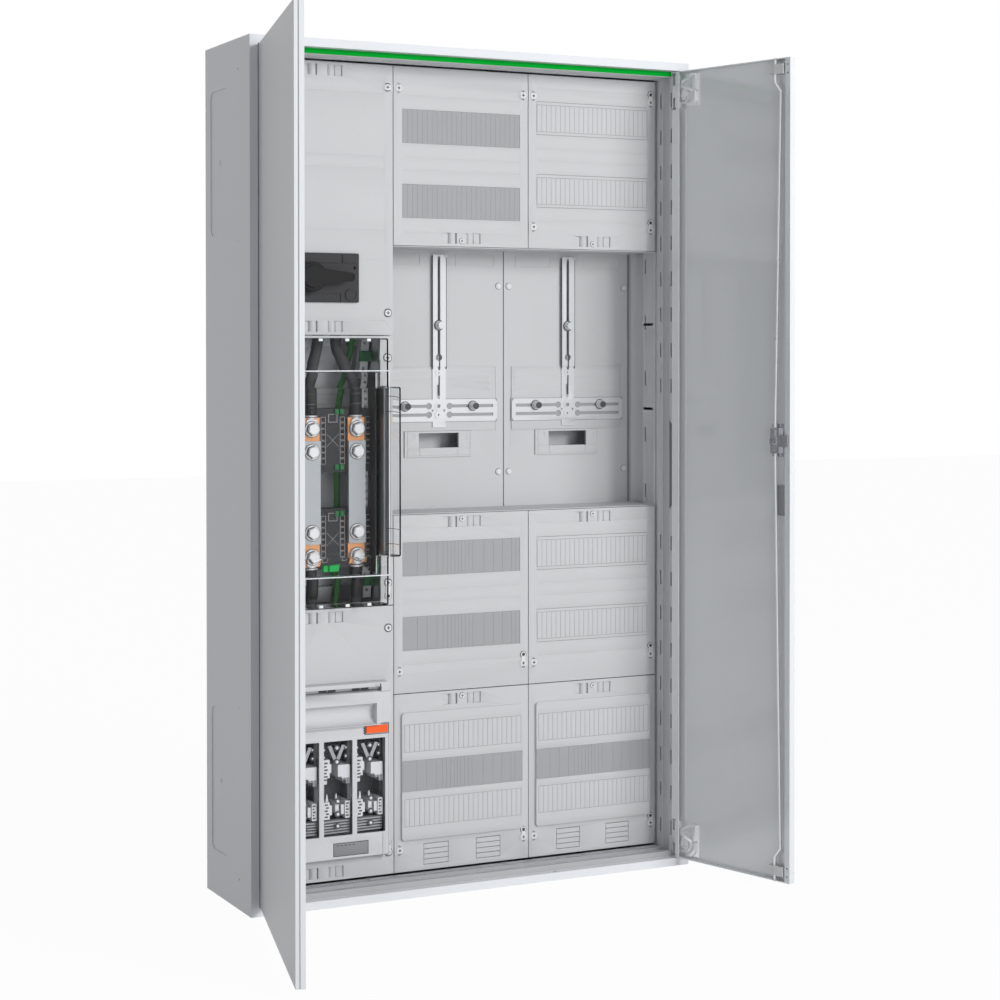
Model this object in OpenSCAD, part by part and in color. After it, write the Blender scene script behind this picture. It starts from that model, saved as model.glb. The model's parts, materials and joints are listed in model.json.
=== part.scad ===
// Three-field meter and distribution cabinet in sheet steel, with two unequal doors standing open.
// Frame: origin at the centre of the bottom face, +X to the right, +Y to the wall, +Z up.
// Inside the modules a place is [distance from the left outer side, depth behind the front, height].

/* [Enclosure] */
// Overall width
cab_w = 800; // [760:10:1000]
// Overall height
cab_h = 1400; // [1300:10:1700]
// Overall depth
cab_d = 225; // [215:5:280]
// Thickness of the steel sheet
sheet = 1.5; // [1.2:0.1:2]
// Width of the front rim
rim_w = 13.5; // [12:0.5:15]
// Distance from the outside to the first field, on every side
margin = 25; // [24:1:32]
// Depth of the door stop behind the front
stop_d = 17; // [16.8:0.1:18]

/* [Doors] */
// Width of the left leaf
left_leaf_w = 486; // [420:1:520]
// Thickness of a leaf
leaf_t = 12; // [11.5:0.1:13]
// Gap between leaf and rim
leaf_gap = 2.5; // [2.5:0.1:3]
// Gap between the two leaves
middle_gap = 2; // [1.5:0.5:6]
// Angle at which the left leaf stands open
left_open = 103.3; // [80:0.1:105]
// Angle at which the right leaf stands open
right_open = 104.5; // [80:0.1:105]
// Distance of the hinge pin from the leaf's edge and from its front
pin_in = 5; // [4.8:0.1:5.5]
// Distance of the hinges from the top and bottom of the cabinet
hinge_in = 49; // [45:1:80]
// Height of one hinge
hinge_h = 62; // [50:1:70]
// Radius of the hinge pin
pin_r = 1.5; // [1.2:0.1:1.6]
// Width of the return lip on the hinge side
hinge_lip = 17; // [14:1:20]
// Width of the return lip on the free edge
edge_lip = 11.5; // [9:0.5:12]

/* [Rod lock] */
// Height of the lock's centre
lock_z = 750; // [650:1:850]
// Distance of the key socket from the leaf's free edge
lock_in = 36; // [34:0.5:40]
// Radius of the rods
rod_r = 2.6; // [2.2:0.1:2.8]
// Depth of the rods behind the leaf's front
rod_d = 8.4; // [8:0.1:8.6]
// Sideways step of the rods between lock and guides
rod_step = 12; // [8:1:14]
// Travel of a rod
rod_travel = 9; // [8:0.5:10]

/* [Covers] */
// Depth of the covers behind the front
cover_d = 75; // [72:1:80]
// Wall thickness of a cover
cover_t = 2.5; // [2:0.1:3]
// Depth of a cover's rim
cover_rim = 13; // [11:0.5:15]
// Half of the gap between two covers
cover_gap = 0.75; // [0.5:0.05:1.2]
// Distance of the cover locks from the side edge
lock_side = 10; // [9:0.5:12]
// Distance of the cover locks from the top or bottom edge
lock_end = 37.5; // [34:0.5:44]
// Width of one module in a row
module_w = 18; // [17.5:0.5:18]
// Modules in a row
module_n = 12; // [8:1:12]
// Height of a row's opening
row_h = 46; // [45:1:48]
// Distance between the two rows of a cover
row_pitch = 125; // [110:1:130]

/* [Meter bay] */
// Depth of the meter plates behind the front
meter_d = 175; // [160:1:180]
// Height of the step plate
step_h = 111; // [90:1:120]
// Length of the cross's vertical arm
cross_h = 298; // [240:1:300]

/* [Main switch] */
// Width of the bezel
bezel_w = 176; // [150:1:180]
// Height of the bezel
bezel_h = 81; // [70:1:90]
// Radius of the rotary knob
knob_r = 25; // [20:1:28]
// Reach of the lever from the knob's centre
lever_len = 70; // [55:1:75]

/* [Link bars] */
// Distance between the phases
link_pitch = 80; // [70:1:80]
// Width of a bar and of its pads
bar_w = 30; // [24:1:34]
// Length of a bar
bar_len = 172; // [160:1:180]
// Diameter of a phase cable
cable_dia = 19; // [14:1:20]

/* [Fuse switch] */
// Width of the unit
unit_w = 182; // [176:1:184]
// Height of the unit
unit_h = 285; // [280:1:300]
// Distance between two poles
pole_pitch = 58; // [54:1:58]
// Width of a window
pane_w = 50; // [40:1:50]
// Height of a window
pane_h = 156; // [140:1:160]

/* [Hidden] */
$fn = 48;

steel = "#dfe4e7";
inner_steel = "#c9cdd0";
plastic = "#d2d4d5";
zinc = "#c4c9cc";
black = "#484a4d";
copper = "#d98a58";

field_n = 3;
unit_n = 9;
field_w = (cab_w - 2 * margin) / field_n;
unit_z = (cab_h - 2 * margin) / unit_n;
inside_p = margin - 2;            // inner face of the side profiles
inside_z = margin - 2;            // inner face of the top and bottom profiles
back_d = cab_d - sheet;           // inner face of the back sheet
post_d = cover_d + cover_rim;     // front of what carries the covers
rail_d = meter_d + 2;             // front of the field rails
member_d = rail_d + 13;           // front of the cross members
cut = 1;                          // reach of a cutting solid past the face it cuts
fit = 0.4;                        // clearance of a piece set in an opening

function field_p(i) = margin + i * field_w;
function field_mid(i) = field_p(i) + field_w / 2;
function unit_at(k) = margin + k * unit_z;

// ---- small helpers ----------------------------------------------------------------------------

module cabinet() translate([-cab_w / 2, -cab_d / 2, 0]) children();

module slab(lo, hi) translate(lo) cube(hi - lo);

module to_right() translate([cab_w, 0, 0]) mirror([1, 0, 0]) children();

module to_bottom() translate([0, 0, cab_h]) mirror([0, 0, 1]) children();

module both_sides() {
    children();
    to_right() children();
}

// round bar along the depth
module peg(p, z, r, d0, d1) translate([p, d1, z]) rotate([90, 0, 0]) cylinder(r = r, h = d1 - d0);

// plate with round corners, its thickness along the depth
module soft_plate(lo, hi, r) {
    w = hi.x - lo.x;
    h = hi.z - lo.z;
    translate([lo.x, hi.y, lo.z]) rotate([90, 0, 0]) linear_extrude(hi.y - lo.y) {
        translate([r, 0]) square([w - 2 * r, h]);
        translate([0, r]) square([w, h - 2 * r]);
        for (x = [r, w - r], y = [r, h - r]) translate([x, y]) circle(r);
    }
}

// plate with round corners, its thickness across the cabinet
module side_plate(lo, hi, r) {
    w = hi.y - lo.y;
    h = hi.z - lo.z;
    translate(lo) rotate([90, 0, 90]) linear_extrude(hi.x - lo.x) {
        translate([r, 0]) square([w - 2 * r, h]);
        translate([0, r]) square([w, h - 2 * r]);
        for (x = [r, w - r], y = [r, h - r]) translate([x, y]) circle(r);
    }
}

// outline drawn in depth and height, drawn out across the cabinet
module across(p0, p1) translate([p0, 0, 0]) rotate([90, 0, 90]) linear_extrude(p1 - p0) children();

// outline drawn across and in height, drawn out along the depth
module along(d0, d1) translate([0, d1, 0]) rotate([90, 0, 0]) linear_extrude(d1 - d0) children();

// ---- enclosure --------------------------------------------------------------------------------

side_win_w = 88;
side_win_h = 238;
side_win_d = 155;
side_win_z = 192.5;

module side_windows(p0, p1, grow) for (z = [side_win_z, cab_h - side_win_z])
    side_plate([p0, side_win_d - side_win_w / 2 - grow, z - side_win_h / 2 - grow],
        [p1, side_win_d + side_win_w / 2 + grow, z + side_win_h / 2 + grow], 14 + grow);

module side_sheet() color(steel) cabinet() difference() {
    union() {
        slab([0, 0, 0], [sheet, cab_d, cab_h]);
        slab([0, 0, sheet], [rim_w, sheet, cab_h - sheet]);
        slab([rim_w - sheet, 0, sheet], [rim_w, stop_d, cab_h - sheet]);
    }
    side_windows(-cut, sheet + cut, 0);
    for (z = [49, 325, cab_h - 325, cab_h - 49])
        translate([-cut, 58, z]) rotate([0, 90, 0]) cylinder(r = 1.5, h = sheet + 2 * cut);
}

module left_side() side_sheet();

module right_side() mirror([1, 0, 0]) side_sheet();

// cover plates behind the windows, each held by its centre screw
module side_covers() color(steel) cabinet() both_sides() {
    side_windows(sheet, 2 * sheet, 8);
    for (z = [side_win_z, cab_h - side_win_z]) translate([0.5, side_win_d, z])
        rotate([0, 90, 0]) cylinder(r = 4, h = sheet - 0.5);
}

entry_w = 200;
entry_d = [122, 202];

module entry_openings(z0, z1, grow) for (i = [0 : field_n - 1])
    slab([field_mid(i) - entry_w / 2 - grow, entry_d[0] - grow, z0],
        [field_mid(i) + entry_w / 2 + grow, entry_d[1] + grow, z1]);

module end_sheet() difference() {
    union() {
        slab([sheet, 0, cab_h - sheet], [cab_w - sheet, cab_d, cab_h]);
        slab([rim_w, 0, cab_h - rim_w], [cab_w - rim_w, sheet, cab_h - sheet]);
        slab([rim_w, 0, cab_h - rim_w], [cab_w - rim_w, stop_d, cab_h - rim_w + sheet]);
    }
    entry_openings(cab_h - sheet - cut, cab_h + cut, 0);
    translate([rod_hole_p, rod_d, cab_h - rim_w - cut]) cylinder(r = rod_r + 1.5, h = sheet + 2 * cut);
}

module top_panel() color(steel) cabinet() end_sheet();

module bottom_panel() color(steel) cabinet() to_bottom() end_sheet();

// flange plates that close the cable entries from inside, with ring-shaped knock-outs
module entry_plate_set() difference() {
    entry_openings(cab_h - 2 * sheet, cab_h - sheet, 8);
    for (i = [0 : field_n - 1], k = [-1 : 1])
        translate([field_mid(i) + 60 * k, (entry_d[0] + entry_d[1]) / 2, cab_h - sheet - 0.5]) difference() {
            cylinder(r = 20, h = 1);
            translate([0, 0, -cut]) cylinder(r = 19, h = 1 + 2 * cut);
        }
}

module entry_plates() color(zinc) cabinet() {
    entry_plate_set();
    to_bottom() entry_plate_set();
}

wall_hole_p = 70;
wall_hole_z = 40;
wall_hole_r = 5;

module back_panel() color(steel) cabinet() difference() {
    slab([sheet, back_d, sheet], [cab_w - sheet, cab_d, cab_h - sheet]);
    for (p = [wall_hole_p, cab_w - wall_hole_p], z = [wall_hole_z, cab_h - wall_hole_z])
        peg(p, z, wall_hole_r, back_d - cut, cab_d + cut);
}

// ---- roll-formed frame ------------------------------------------------------------------------

slot_len = 25;
slot_w = 4;
slot_pitch = 62.5;
groove_a = [28, 50];
groove_b = [meter_d - 52, meter_d - 7];
joggle = [cover_d - 3, cover_d + 4];
notch_h = 158;

// wall of the profile between two depths
module wall(d0, d1, p = inside_p) slab([p - sheet, d0, sheet], [p, d1, cab_h - sheet]);

// hollow groove between two depths, g deep
module groove(span, g) {
    half = (span[1] - span[0]) / 2;
    r = (half * half + g * g) / (2 * g);
    intersection() {
        translate([inside_p - g + r, span[0] + half, sheet]) difference() {
            cylinder(r = r + sheet, h = cab_h - 2 * sheet);
            translate([0, 0, -cut]) cylinder(r = r, h = cab_h);
        }
        slab([0, span[0], 0], [inside_p, span[1], cab_h]);
    }
}

module slot_at(d, z, len = slot_len) slab([inside_p - sheet - cut, d - slot_w / 2, z - len / 2],
    [inside_p + cut, d + slot_w / 2, z + len / 2]);

module side_profile() color(inner_steel) cabinet() difference() {
    union() {
        slab([rim_w - sheet, stop_d, sheet], [inside_p, stop_d + sheet, cab_h - sheet]);
        wall(stop_d, groove_a[0]);
        groove(groove_a, 11);
        wall(groove_a[1], joggle[0] + sheet);
        wall(joggle[0], joggle[1] + sheet, inside_p - 2 * sheet + 0.5);
        for (d = joggle) slab([inside_p - 3 * sheet + 0.5, d, sheet], [inside_p, d + sheet, cab_h - sheet]);
        wall(joggle[1], groove_b[0]);
        groove(groove_b, 9);
        wall(groove_b[1], back_d);
    }
    for (n = [0 : floor((cab_h / 2 - 62 - notch_h / 2) / slot_pitch)], up = [0, 1]) {
        z = 62 + n * slot_pitch;
        for (d = [21.5, 59]) slot_at(d, up ? cab_h - z : z);
    }
    for (n = [0 : floor((cab_h / 2 - 150) / 100)], up = [0, 1])
        slot_at(groove_b[0] - 8, up ? cab_h - 150 - 100 * n : 150 + 100 * n);
    // slits for cross brackets, and the notch in the front strip
    for (z = [unit_at(5), unit_at(6)]) slab([inside_p - 2 * sheet, joggle[1] + 8, z + 19],
        [inside_p + cut, groove_b[0], z + 23.5]);
    across(inside_p - sheet - 0.01, inside_p + cut) polygon([
        [stop_d + sheet, cab_h / 2 - notch_h / 2 + 8], [groove_a[0], cab_h / 2 - notch_h / 2],
        [groove_a[0], cab_h / 2 + notch_h / 2], [stop_d + sheet, cab_h / 2 + notch_h / 2 - 8]]);
}

module left_profile() side_profile();

module right_profile() mirror([1, 0, 0]) side_profile();

module end_profile() {
    top = cab_h - inside_z;
    mid = (groove_a[0] + groove_a[1]) / 2;
    r = (groove_a[1] - groove_a[0]) / 2;
    difference() {
        union() {
            slab([inside_p, stop_d, top], [cab_w - inside_p, stop_d + sheet, cab_h - sheet]);
            slab([inside_p, stop_d, top], [cab_w - inside_p, groove_a[0], top + sheet]);
            slab([inside_p, groove_a[1], top], [cab_w - inside_p, joggle[0], top + sheet]);
            slab([inside_p, joggle[0] - sheet, top], [cab_w - inside_p, joggle[0], cab_h - sheet]);
            across(inside_p, cab_w - inside_p) intersection() {
                translate([mid, top]) circle(r = r + sheet);
                translate([groove_a[0] - sheet, top]) square([2 * (r + sheet), r + 2 * sheet]);
            }
        }
        across(inside_p - cut, cab_w - inside_p + cut) translate([mid, top]) circle(r = r);
        for (i = [0 : field_n - 1], k = [-2 : 2]) {
            slab([field_mid(i) + 44 * k - 10, 58, top - cut],
                [field_mid(i) + 44 * k + 10, 61, top + sheet + cut]);
            slab([field_mid(i) + 44 * k - 6, 20, top - cut],
                [field_mid(i) + 44 * k + 6, 23, top + sheet + cut]);
        }
        for (i = [0 : field_n - 1], k = [0 : 4]) slab([field_p(i) + 50 * k - 0.6, groove_a[1] + 1, top - cut],
            [field_p(i) + 50 * k + 0.6, joggle[0] - sheet, top + 0.7]);
    }
}

module top_profile() color(inner_steel) cabinet() end_profile();

module bottom_profile() color(inner_steel) cabinet() to_bottom() end_profile();

// ribbed seal along the top of the door stop
module top_seal() color("#08a03a") cabinet() {
    z0 = cab_h - inside_z + 0.6;
    h = inside_z - rim_w - 1;
    slab([inside_p + 3, stop_d - 1, z0], [cab_w - inside_p - 3, stop_d, z0 + h]);
    slab([inside_p + 3, stop_d - 1.7, z0 + h / 3], [cab_w - inside_p - 3, stop_d - 0.9, z0 + 2 * h / 3]);
}

// ---- inner frame ------------------------------------------------------------------------------

field_rail_w = 20;

function rail_span(i) = i == 0 ? [inside_p, inside_p + field_rail_w + 2]
    : i == field_n ? [cab_w - inside_p - field_rail_w - 2, cab_w - inside_p]
    : [field_p(i) - field_rail_w / 2, field_p(i) + field_rail_w / 2];

module channel(p, z0, z1, d0, d1) difference() {
    slab([p[0], d0, z0], [p[1], d1, z1]);
    slab([p[0] + sheet, d0 + sheet, z0 - cut], [p[1] - sheet, d1 + cut, z1 + cut]);
}

module field_rails() color(zinc) cabinet() for (i = [0 : field_n])
    channel(rail_span(i), 4, cab_h - 4, rail_d, back_d);

post_w = 24;
bay_z = [unit_at(4), unit_at(7)];
shelf_t = sheet;

module post(i, z0, z1) channel([field_p(i) - post_w / 2, field_p(i) + post_w / 2], z0, z1, post_d, rail_d);

// ledge on a side profile
module ledge(z0, z1) {
    slab([inside_p, post_d, z0], [inside_p + 18, post_d + sheet, z1]);
    slab([inside_p, post_d, z0], [inside_p + sheet, post_d + 20, z1]);
}

module cover_posts() color(zinc) cabinet() {
    ledge(margin, cab_h - margin);
    difference() {
        union() {
            post(1, margin, cab_h - margin);
            slab([field_p(1) - 1, post_d, bay_z[0]], [field_p(1) + 0.5, rail_d, bay_z[1]]);
        }
        slab([field_p(1) + 0.5, post_d - cut, bay_z[0]], [field_p(2), rail_d + cut, bay_z[1]]);
    }
    for (i = [2 : field_n - 1]) {
        post(i, margin, bay_z[0] - 0.5);
        post(i, bay_z[1] + 0.5, cab_h - margin);
    }
    to_right() ledge(margin, bay_z[0] - 0.5);
    to_right() ledge(bay_z[1] + 0.5, cab_h - margin);
}

member_h = 25;
member_z = [unit_at(0) + 60, unit_at(1) + 125, unit_at(2) + 75, unit_at(3) + 8, unit_at(6) - 8,
    unit_at(6) + 95, unit_at(8) + 140];

module cross_members() color(zinc) cabinet() for (z = member_z) difference() {
    slab([rail_span(0)[1], member_d, z - member_h / 2], [rail_span(1)[0], back_d, z + member_h / 2]);
    slab([0, member_d + sheet, z - member_h / 2 + sheet],
        [cab_w, cab_d, z + member_h / 2 - sheet]);
}

module bay_shelves() color(plastic) cabinet() {
    slab([field_p(1) + 0.5, cover_d + 1, bay_z[0]], [cab_w - inside_p, meter_d, bay_z[0] + shelf_t]);
    slab([field_p(1) + 0.5, cover_d + 1, bay_z[1] - shelf_t], [cab_w - inside_p, meter_d, bay_z[1]]);
}

// ---- doors ------------------------------------------------------------------------------------
// A leaf is drawn closed: [distance from its hinge edge, depth behind the front, height].

edge_p = rim_w + leaf_gap;
leaf_z = [rim_w + 2, cab_h - rim_w - 2];
right_leaf_w = cab_w - 2 * edge_p - middle_gap - left_leaf_w;
hinge_z = [hinge_in, cab_h - hinge_in];
rod_s = right_leaf_w - lock_in;
rod_hole_p = cab_w - edge_p - rod_s;

module left_leaf() cabinet() translate([edge_p + pin_in, pin_in, 0]) rotate([0, 0, -left_open])
    translate([-pin_in, -pin_in, 0]) children();

module right_leaf() mirror([1, 0, 0]) cabinet() translate([edge_p + pin_in, pin_in, 0])
    rotate([0, 0, -right_open]) translate([-pin_in, -pin_in, 0]) children();

module leaf(w) difference() {
    slab([0, 0, leaf_z[0]], [w, leaf_t, leaf_z[1]]);
    slab([sheet, sheet, leaf_z[0] + sheet], [w - sheet, leaf_t - sheet, leaf_z[1] - sheet]);
    slab([hinge_lip, sheet, leaf_z[0] + sheet], [w - edge_lip, leaf_t + cut, leaf_z[1] - sheet]);
    // room for the arms of the hinges in the folded edge
    for (z = hinge_z) slab([-cut, sheet, z - hinge_h / 2 - 2],
        [9.5, leaf_t + cut, min(z + hinge_h / 2 + 2, leaf_z[1] - sheet)]);
    for (z = [leaf_z[0] + 11, leaf_z[0] + 24.5, leaf_z[1] - 11, leaf_z[1] - 26])
        peg(w - edge_lip / 2, z, 1.8, leaf_t - sheet - cut, leaf_t + cut);
}

module hat(s, z) difference() {
    slab([s, sheet, z[0]], [s + 18, leaf_t - 2 * sheet, z[1]]);
    slab([s + sheet, 0, z[0] + sheet], [s + 18 - sheet, leaf_t - 3 * sheet, z[1] - sheet]);
}

hat_z = [hinge_in + 45, cab_h - hinge_in - 45];

// closing strip on the free edge of the wide leaf, with a groove between the two
edge_groove = [3.6, 7];

module left_door() color(steel) left_leaf() difference() {
    union() {
        leaf(left_leaf_w);
        slab([left_leaf_w - 3, sheet, leaf_z[0]], [left_leaf_w, leaf_t + 2.5, leaf_z[1]]);
        slab([left_leaf_w - edge_lip, leaf_t - 0.5, leaf_z[0]], [left_leaf_w, leaf_t + 2.5, leaf_z[1]]);
    }
    slab([left_leaf_w - 2, edge_groove[0], leaf_z[0] - cut], [left_leaf_w + cut, edge_groove[1],
        leaf_z[1] + cut]);
}

module left_stiffeners() color(inner_steel) left_leaf() for (s = [hinge_lip + 5, left_leaf_w - 50])
    hat(s, hat_z);

module right_door() color(steel) right_leaf() difference() {
    leaf(right_leaf_w);
    translate([rod_s, rod_d, leaf_z[0] - cut]) cylinder(r = rod_r + 0.6, h = cab_h);
    peg(rod_s, lock_z, spindle_r + 0.4, -cut, leaf_t);
}

// flat doubler along the hinge edge
module right_stiffeners() color(inner_steel) right_leaf()
    slab([sheet + 1, sheet, hinge_z[0] + hinge_h / 2 + 1], [hinge_lip + 8, sheet + 1, hinge_z[1] - hinge_h / 2 - 1]);

// hinge: two knuckles on the leaf, one on the frame bracket between them
knuckle_r = 3.2;
arm_h = 11;

module hinge_leaf(z) difference() {
    union() {
        for (k = [-1, 1]) {
            translate([pin_in, pin_in, z + k * 20 - 8]) cylinder(r = knuckle_r, h = 16);
            slab([pin_in, sheet, z + k * 20 - 8], [12, 4, z + k * 20 + 8]);
        }
        slab([9, sheet, z - 28], [59, 3, z + 28]);
        translate([0, 0, z]) along(2, 8) {
            // two arms that meet at the pin, and the upper jaw they carry
            polygon([[10, 9], [10, 15], [43, 28], [55, 28], [55, 0.5], [46, 0.5], [46, 24]]);
            polygon([[10, 15], [10, 9.5], [46, -4.5], [46, 1]]);
            // lower jaw, bent inwards at its foot
            polygon([[48, -3], [54.5, -3], [54, -19], [44, -28], [32, -28], [33, -24.5], [41, -22.5], [47, -15]]);
        }
        peg(23, z - 9.5, 13, 2, 7);
    }
    translate([pin_in, pin_in, z - 40]) cylinder(r = pin_r + 0.05, h = 80);
    difference() {
        peg(23, z - 9.5, 10.5, 4, 9);
        translate([23, 10, z - 9.5]) rotate([90, 0, 0]) cylinder(r = 7, h = 7, $fn = 8);
        slab([9, 2, z - 9.5], [46, 9, z + 10]);
    }
    peg(23, z - 9.5, 3, 5, 9);
}

module hinge_leaf_set() for (z = hinge_z) hinge_leaf(z);

module left_hinge_leaves() color(zinc) left_leaf() hinge_leaf_set();

module right_hinge_leaves() color(zinc) right_leaf() hinge_leaf_set();

// bracket on the door stop, drawn at the left side of the cabinet
module hinge_bracket(z) difference() {
    union() {
        slab([rim_w + 0.2, stop_d - 1.6, z - 28], [inside_p, stop_d, z + 28]);
        slab([edge_p + pin_in, pin_in, z - arm_h], [edge_p + pin_in + 2, stop_d, z + arm_h]);
        translate([edge_p + pin_in, pin_in, z - arm_h]) cylinder(r = knuckle_r, h = 2 * arm_h);
    }
    translate([edge_p + pin_in, pin_in, z - 40]) cylinder(r = pin_r + 0.05, h = 80);
}

module hinge_brackets() color(zinc) cabinet() both_sides() for (z = hinge_z) hinge_bracket(z);

module hinge_pins() color(zinc) cabinet() both_sides() for (z = hinge_z)
    translate([edge_p + pin_in, pin_in, z - 29]) cylinder(r = pin_r, h = 58);

// ---- rod lock on the right leaf ---------------------------------------------------------------

spindle_r = 3.6;
case_d = leaf_t + 0.4;
boss_r = 8.2;
tongue_s = [12, 33];
tongue_d = [leaf_t + 0.6, leaf_t + 3.6];
guide_in = 17.5;
guide_h = 16;
elbow_in = guide_in + guide_h / 2 + rod_travel + rod_r + 2.4;
rod_gap = 8;

module lock_case() color(zinc) right_leaf() difference() {
    union() {
        slab([rod_s - 11, sheet, lock_z - 27], [rod_s + 13, 4, lock_z + 28]);
        slab([rod_s - 8, sheet, lock_z - 21], [rod_s + 8, case_d, lock_z + 21]);
        peg(rod_s, lock_z, boss_r, sheet, case_d);
    }
    slab([rod_s - rod_r - 0.5, rod_d - rod_r - 0.5, lock_z - 40], [rod_s + rod_r + 0.5, rod_d + rod_r + 0.5,
        lock_z + 40]);
    peg(rod_s, lock_z, spindle_r + 0.1, 0, case_d + cut);
    // screw slots above and below the boss
    for (e = [-1, 1]) slab([rod_s - 1, case_d - 1, lock_z + e * 18 - 2.5],
        [rod_s + 1, case_d + cut, lock_z + e * 18 + 2.5]);
}

module lock_cam() color(zinc) right_leaf() difference() {
    union() {
        peg(rod_s, lock_z, spindle_r, 0.3, case_d + 1);
        translate([rod_s, tongue_d[0], lock_z]) rotate([90, 22.5, 0]) mirror([0, 0, 1])
            cylinder(r = boss_r, h = 2.5, $fn = 8);
        peg(rod_s, lock_z, spindle_r, case_d, tongue_d[0] + 1);
        slab([rod_s, tongue_d[0], lock_z - 3.5], [rod_s + tongue_s[0] + 1, tongue_d[0] + 1.5, lock_z + 3.5]);
        soft_plate([rod_s + tongue_s[0], tongue_d[0], lock_z - 10],
            [rod_s + tongue_s[1], tongue_d[1], lock_z + 10], 4);
    }
    // square of the key, standing on its corner
    translate([rod_s, tongue_d[0] - 3, lock_z]) rotate([0, 45, 0]) slab([-3, 0, -3], [3, 8, 3]);
}

// straight length of rod from a up to b, both [s, z]
module rod_run(a, b) translate([a[0], rod_d, a[1]]) rotate([0, atan2(b[0] - a[0], b[1] - a[1]), 0])
    cylinder(r = rod_r, h = norm(b - a));

module rod_elbow(a) translate([a[0], rod_d, a[1]]) sphere(r = rod_r + 0.3);

// upper rod, from the lock to its tip
module upper_rod() color(zinc) right_leaf() {
    a = [rod_s, lock_z + rod_gap];
    b = [rod_s, lock_z + 26];
    c = [rod_s + rod_step, leaf_z[1] - elbow_in - 15];
    d = [rod_s, leaf_z[1] - elbow_in];
    rod_run(a, b);
    rod_elbow(b);
    rod_run(b, c);
    rod_elbow(c);
    rod_run(c, d);
    rod_elbow(d);
    rod_run(d, [rod_s, leaf_z[1] + 1.5]);
}

// lower rod, from its tip up to the lock
module lower_rod() color(zinc) right_leaf() {
    a = [rod_s, lock_z - rod_gap];
    b = [rod_s, lock_z - 26];
    c = [rod_s + rod_step, leaf_z[0] + elbow_in + 15];
    d = [rod_s, leaf_z[0] + elbow_in];
    rod_run([rod_s, leaf_z[0] - 1.5], d);
    rod_elbow(d);
    rod_run(d, c);
    rod_elbow(c);
    rod_run(c, b);
    rod_elbow(b);
    rod_run(b, a);
}

module rod_guides() color(zinc) right_leaf() for (z = [leaf_z[0] + guide_in, leaf_z[1] - guide_in]) difference() {
    union() {
        slab([rod_s, sheet, z - guide_h / 2], [rod_s + 21, leaf_t + 1.5, z + guide_h / 2]);
        slab([rod_s - 15, sheet, z - guide_h / 2 + 1], [rod_s + 1, leaf_t - 0.5, z + guide_h / 2 - 1]);
    }
    translate([rod_s, rod_d, z - 20]) cylinder(r = rod_r + 0.1, h = 40);
    slab([rod_s + 5, sheet + 2, z - 5.5], [rod_s + 17, leaf_t - 2, z + guide_h]);
}

module lock_recess_cover() color(inner_steel) right_leaf() difference() {
    soft_plate([rod_s - 6, sheet, lock_z - 125], [rod_s + 22, rod_d - rod_r - 1, lock_z - 75], 3);
    soft_plate([rod_s - 3, 2 * sheet, lock_z - 122], [rod_s + 19, rod_d, lock_z - 78], 2);
}

// ---- touch-protection covers ------------------------------------------------------------------

grip_w = 26;
grip_h = 18;
grip_side = 22;
grip_end = 14.6;
grip_deep = 7;
screw_end = 10.2;                 // cover screws, from the end of the cover

// hollow pan of a cover from unit k0 to unit k1 of field i
module pan(i, k0, k1) {
    lo = [field_p(i) + cover_gap, cover_d, unit_at(k0) + cover_gap];
    hi = [field_p(i + 1) - cover_gap, post_d, unit_at(k1) - cover_gap];
    wall = [cover_t, cover_t, cover_t];
    difference() {
        slab(lo, hi);
        slab(lo + wall, [hi.x - cover_t, hi.y + cut, hi.z - cover_t]);
    }
}

module grip_block(p, z) slab([p - grip_w / 2 - 1.5, cover_d + cover_t - 0.5, z - grip_h / 2 - 1.5],
    [p + grip_w / 2 + 1.5, cover_d + grip_deep + 2, z + grip_h / 2 + 1.5]);

// pocket of a finger grip; side tells on which side of its middle the flat bed lies
module grip_pocket(p, z) {
    slab([p - grip_w / 2, cover_d - cut, z - grip_h / 2],
        [p + grip_w / 2, cover_d + grip_deep, z + grip_h / 2]);
    slab([p - 6, cover_d - cut, z - 4.4], [p + 1, cover_d + 1, z - 3.4]);
}

// round bar in the pocket, and the bed beside it that slopes down to the bar
module grip_bar(p, z, side) {
    translate([p - side * 6, cover_d + grip_deep + 0.2, z - grip_h / 2 - 0.5])
        cylinder(r = grip_deep, h = grip_h + 1);
    across_bed = [[0, grip_deep + 0.5], [side * (grip_w / 2 + 0.5), grip_deep + 0.5],
        [side * (grip_w / 2 + 0.5), side > 0 ? 3 : 1.2], [side * 2, side > 0 ? 3.6 : 5]];
    translate([p, cover_d, z - grip_h / 2 - 0.5]) linear_extrude(grip_h + 1) polygon(across_bed);
}

module grip_bars(i, grips) for (z = grips, side = [-1, 1])
    grip_bar(field_mid(i) + side * grip_side, z, side);

// a cover's pan with its grip blocks, and what is cut from it
module cover_body(i, k0, k1, grips) {
    pan(i, k0, k1);
    for (z = grips, side = [-1, 1]) grip_block(field_mid(i) + side * grip_side, z);
}

module cover_cuts(i, grips, locks) {
    for (z = grips, side = [-1, 1]) grip_pocket(field_mid(i) + side * grip_side, z);
    for (l = locks) peg(l[0], l[1], lock_shank_r + fit, cover_d - cut, post_d + cut);
}

tab_r = 8;

// low tab round a cover lock, reaching to the side edge of its field
module lock_tab(i, l) {
    out = l[0] < field_mid(i) ? field_p(i) + cover_gap : field_p(i + 1) - cover_gap;
    difference() {
        union() {
            peg(l[0], l[1], tab_r, cover_d - 0.9, cover_d + 0.1);
            slab([min(out, l[0]), cover_d - 0.9, l[1] - tab_r], [max(out, l[0]), cover_d + 0.1, l[1] + tab_r]);
        }
        peg(l[0], l[1], lock_shank_r + fit, cover_d - cut, post_d);
    }
}

lock_shank_r = 3.4;

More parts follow.
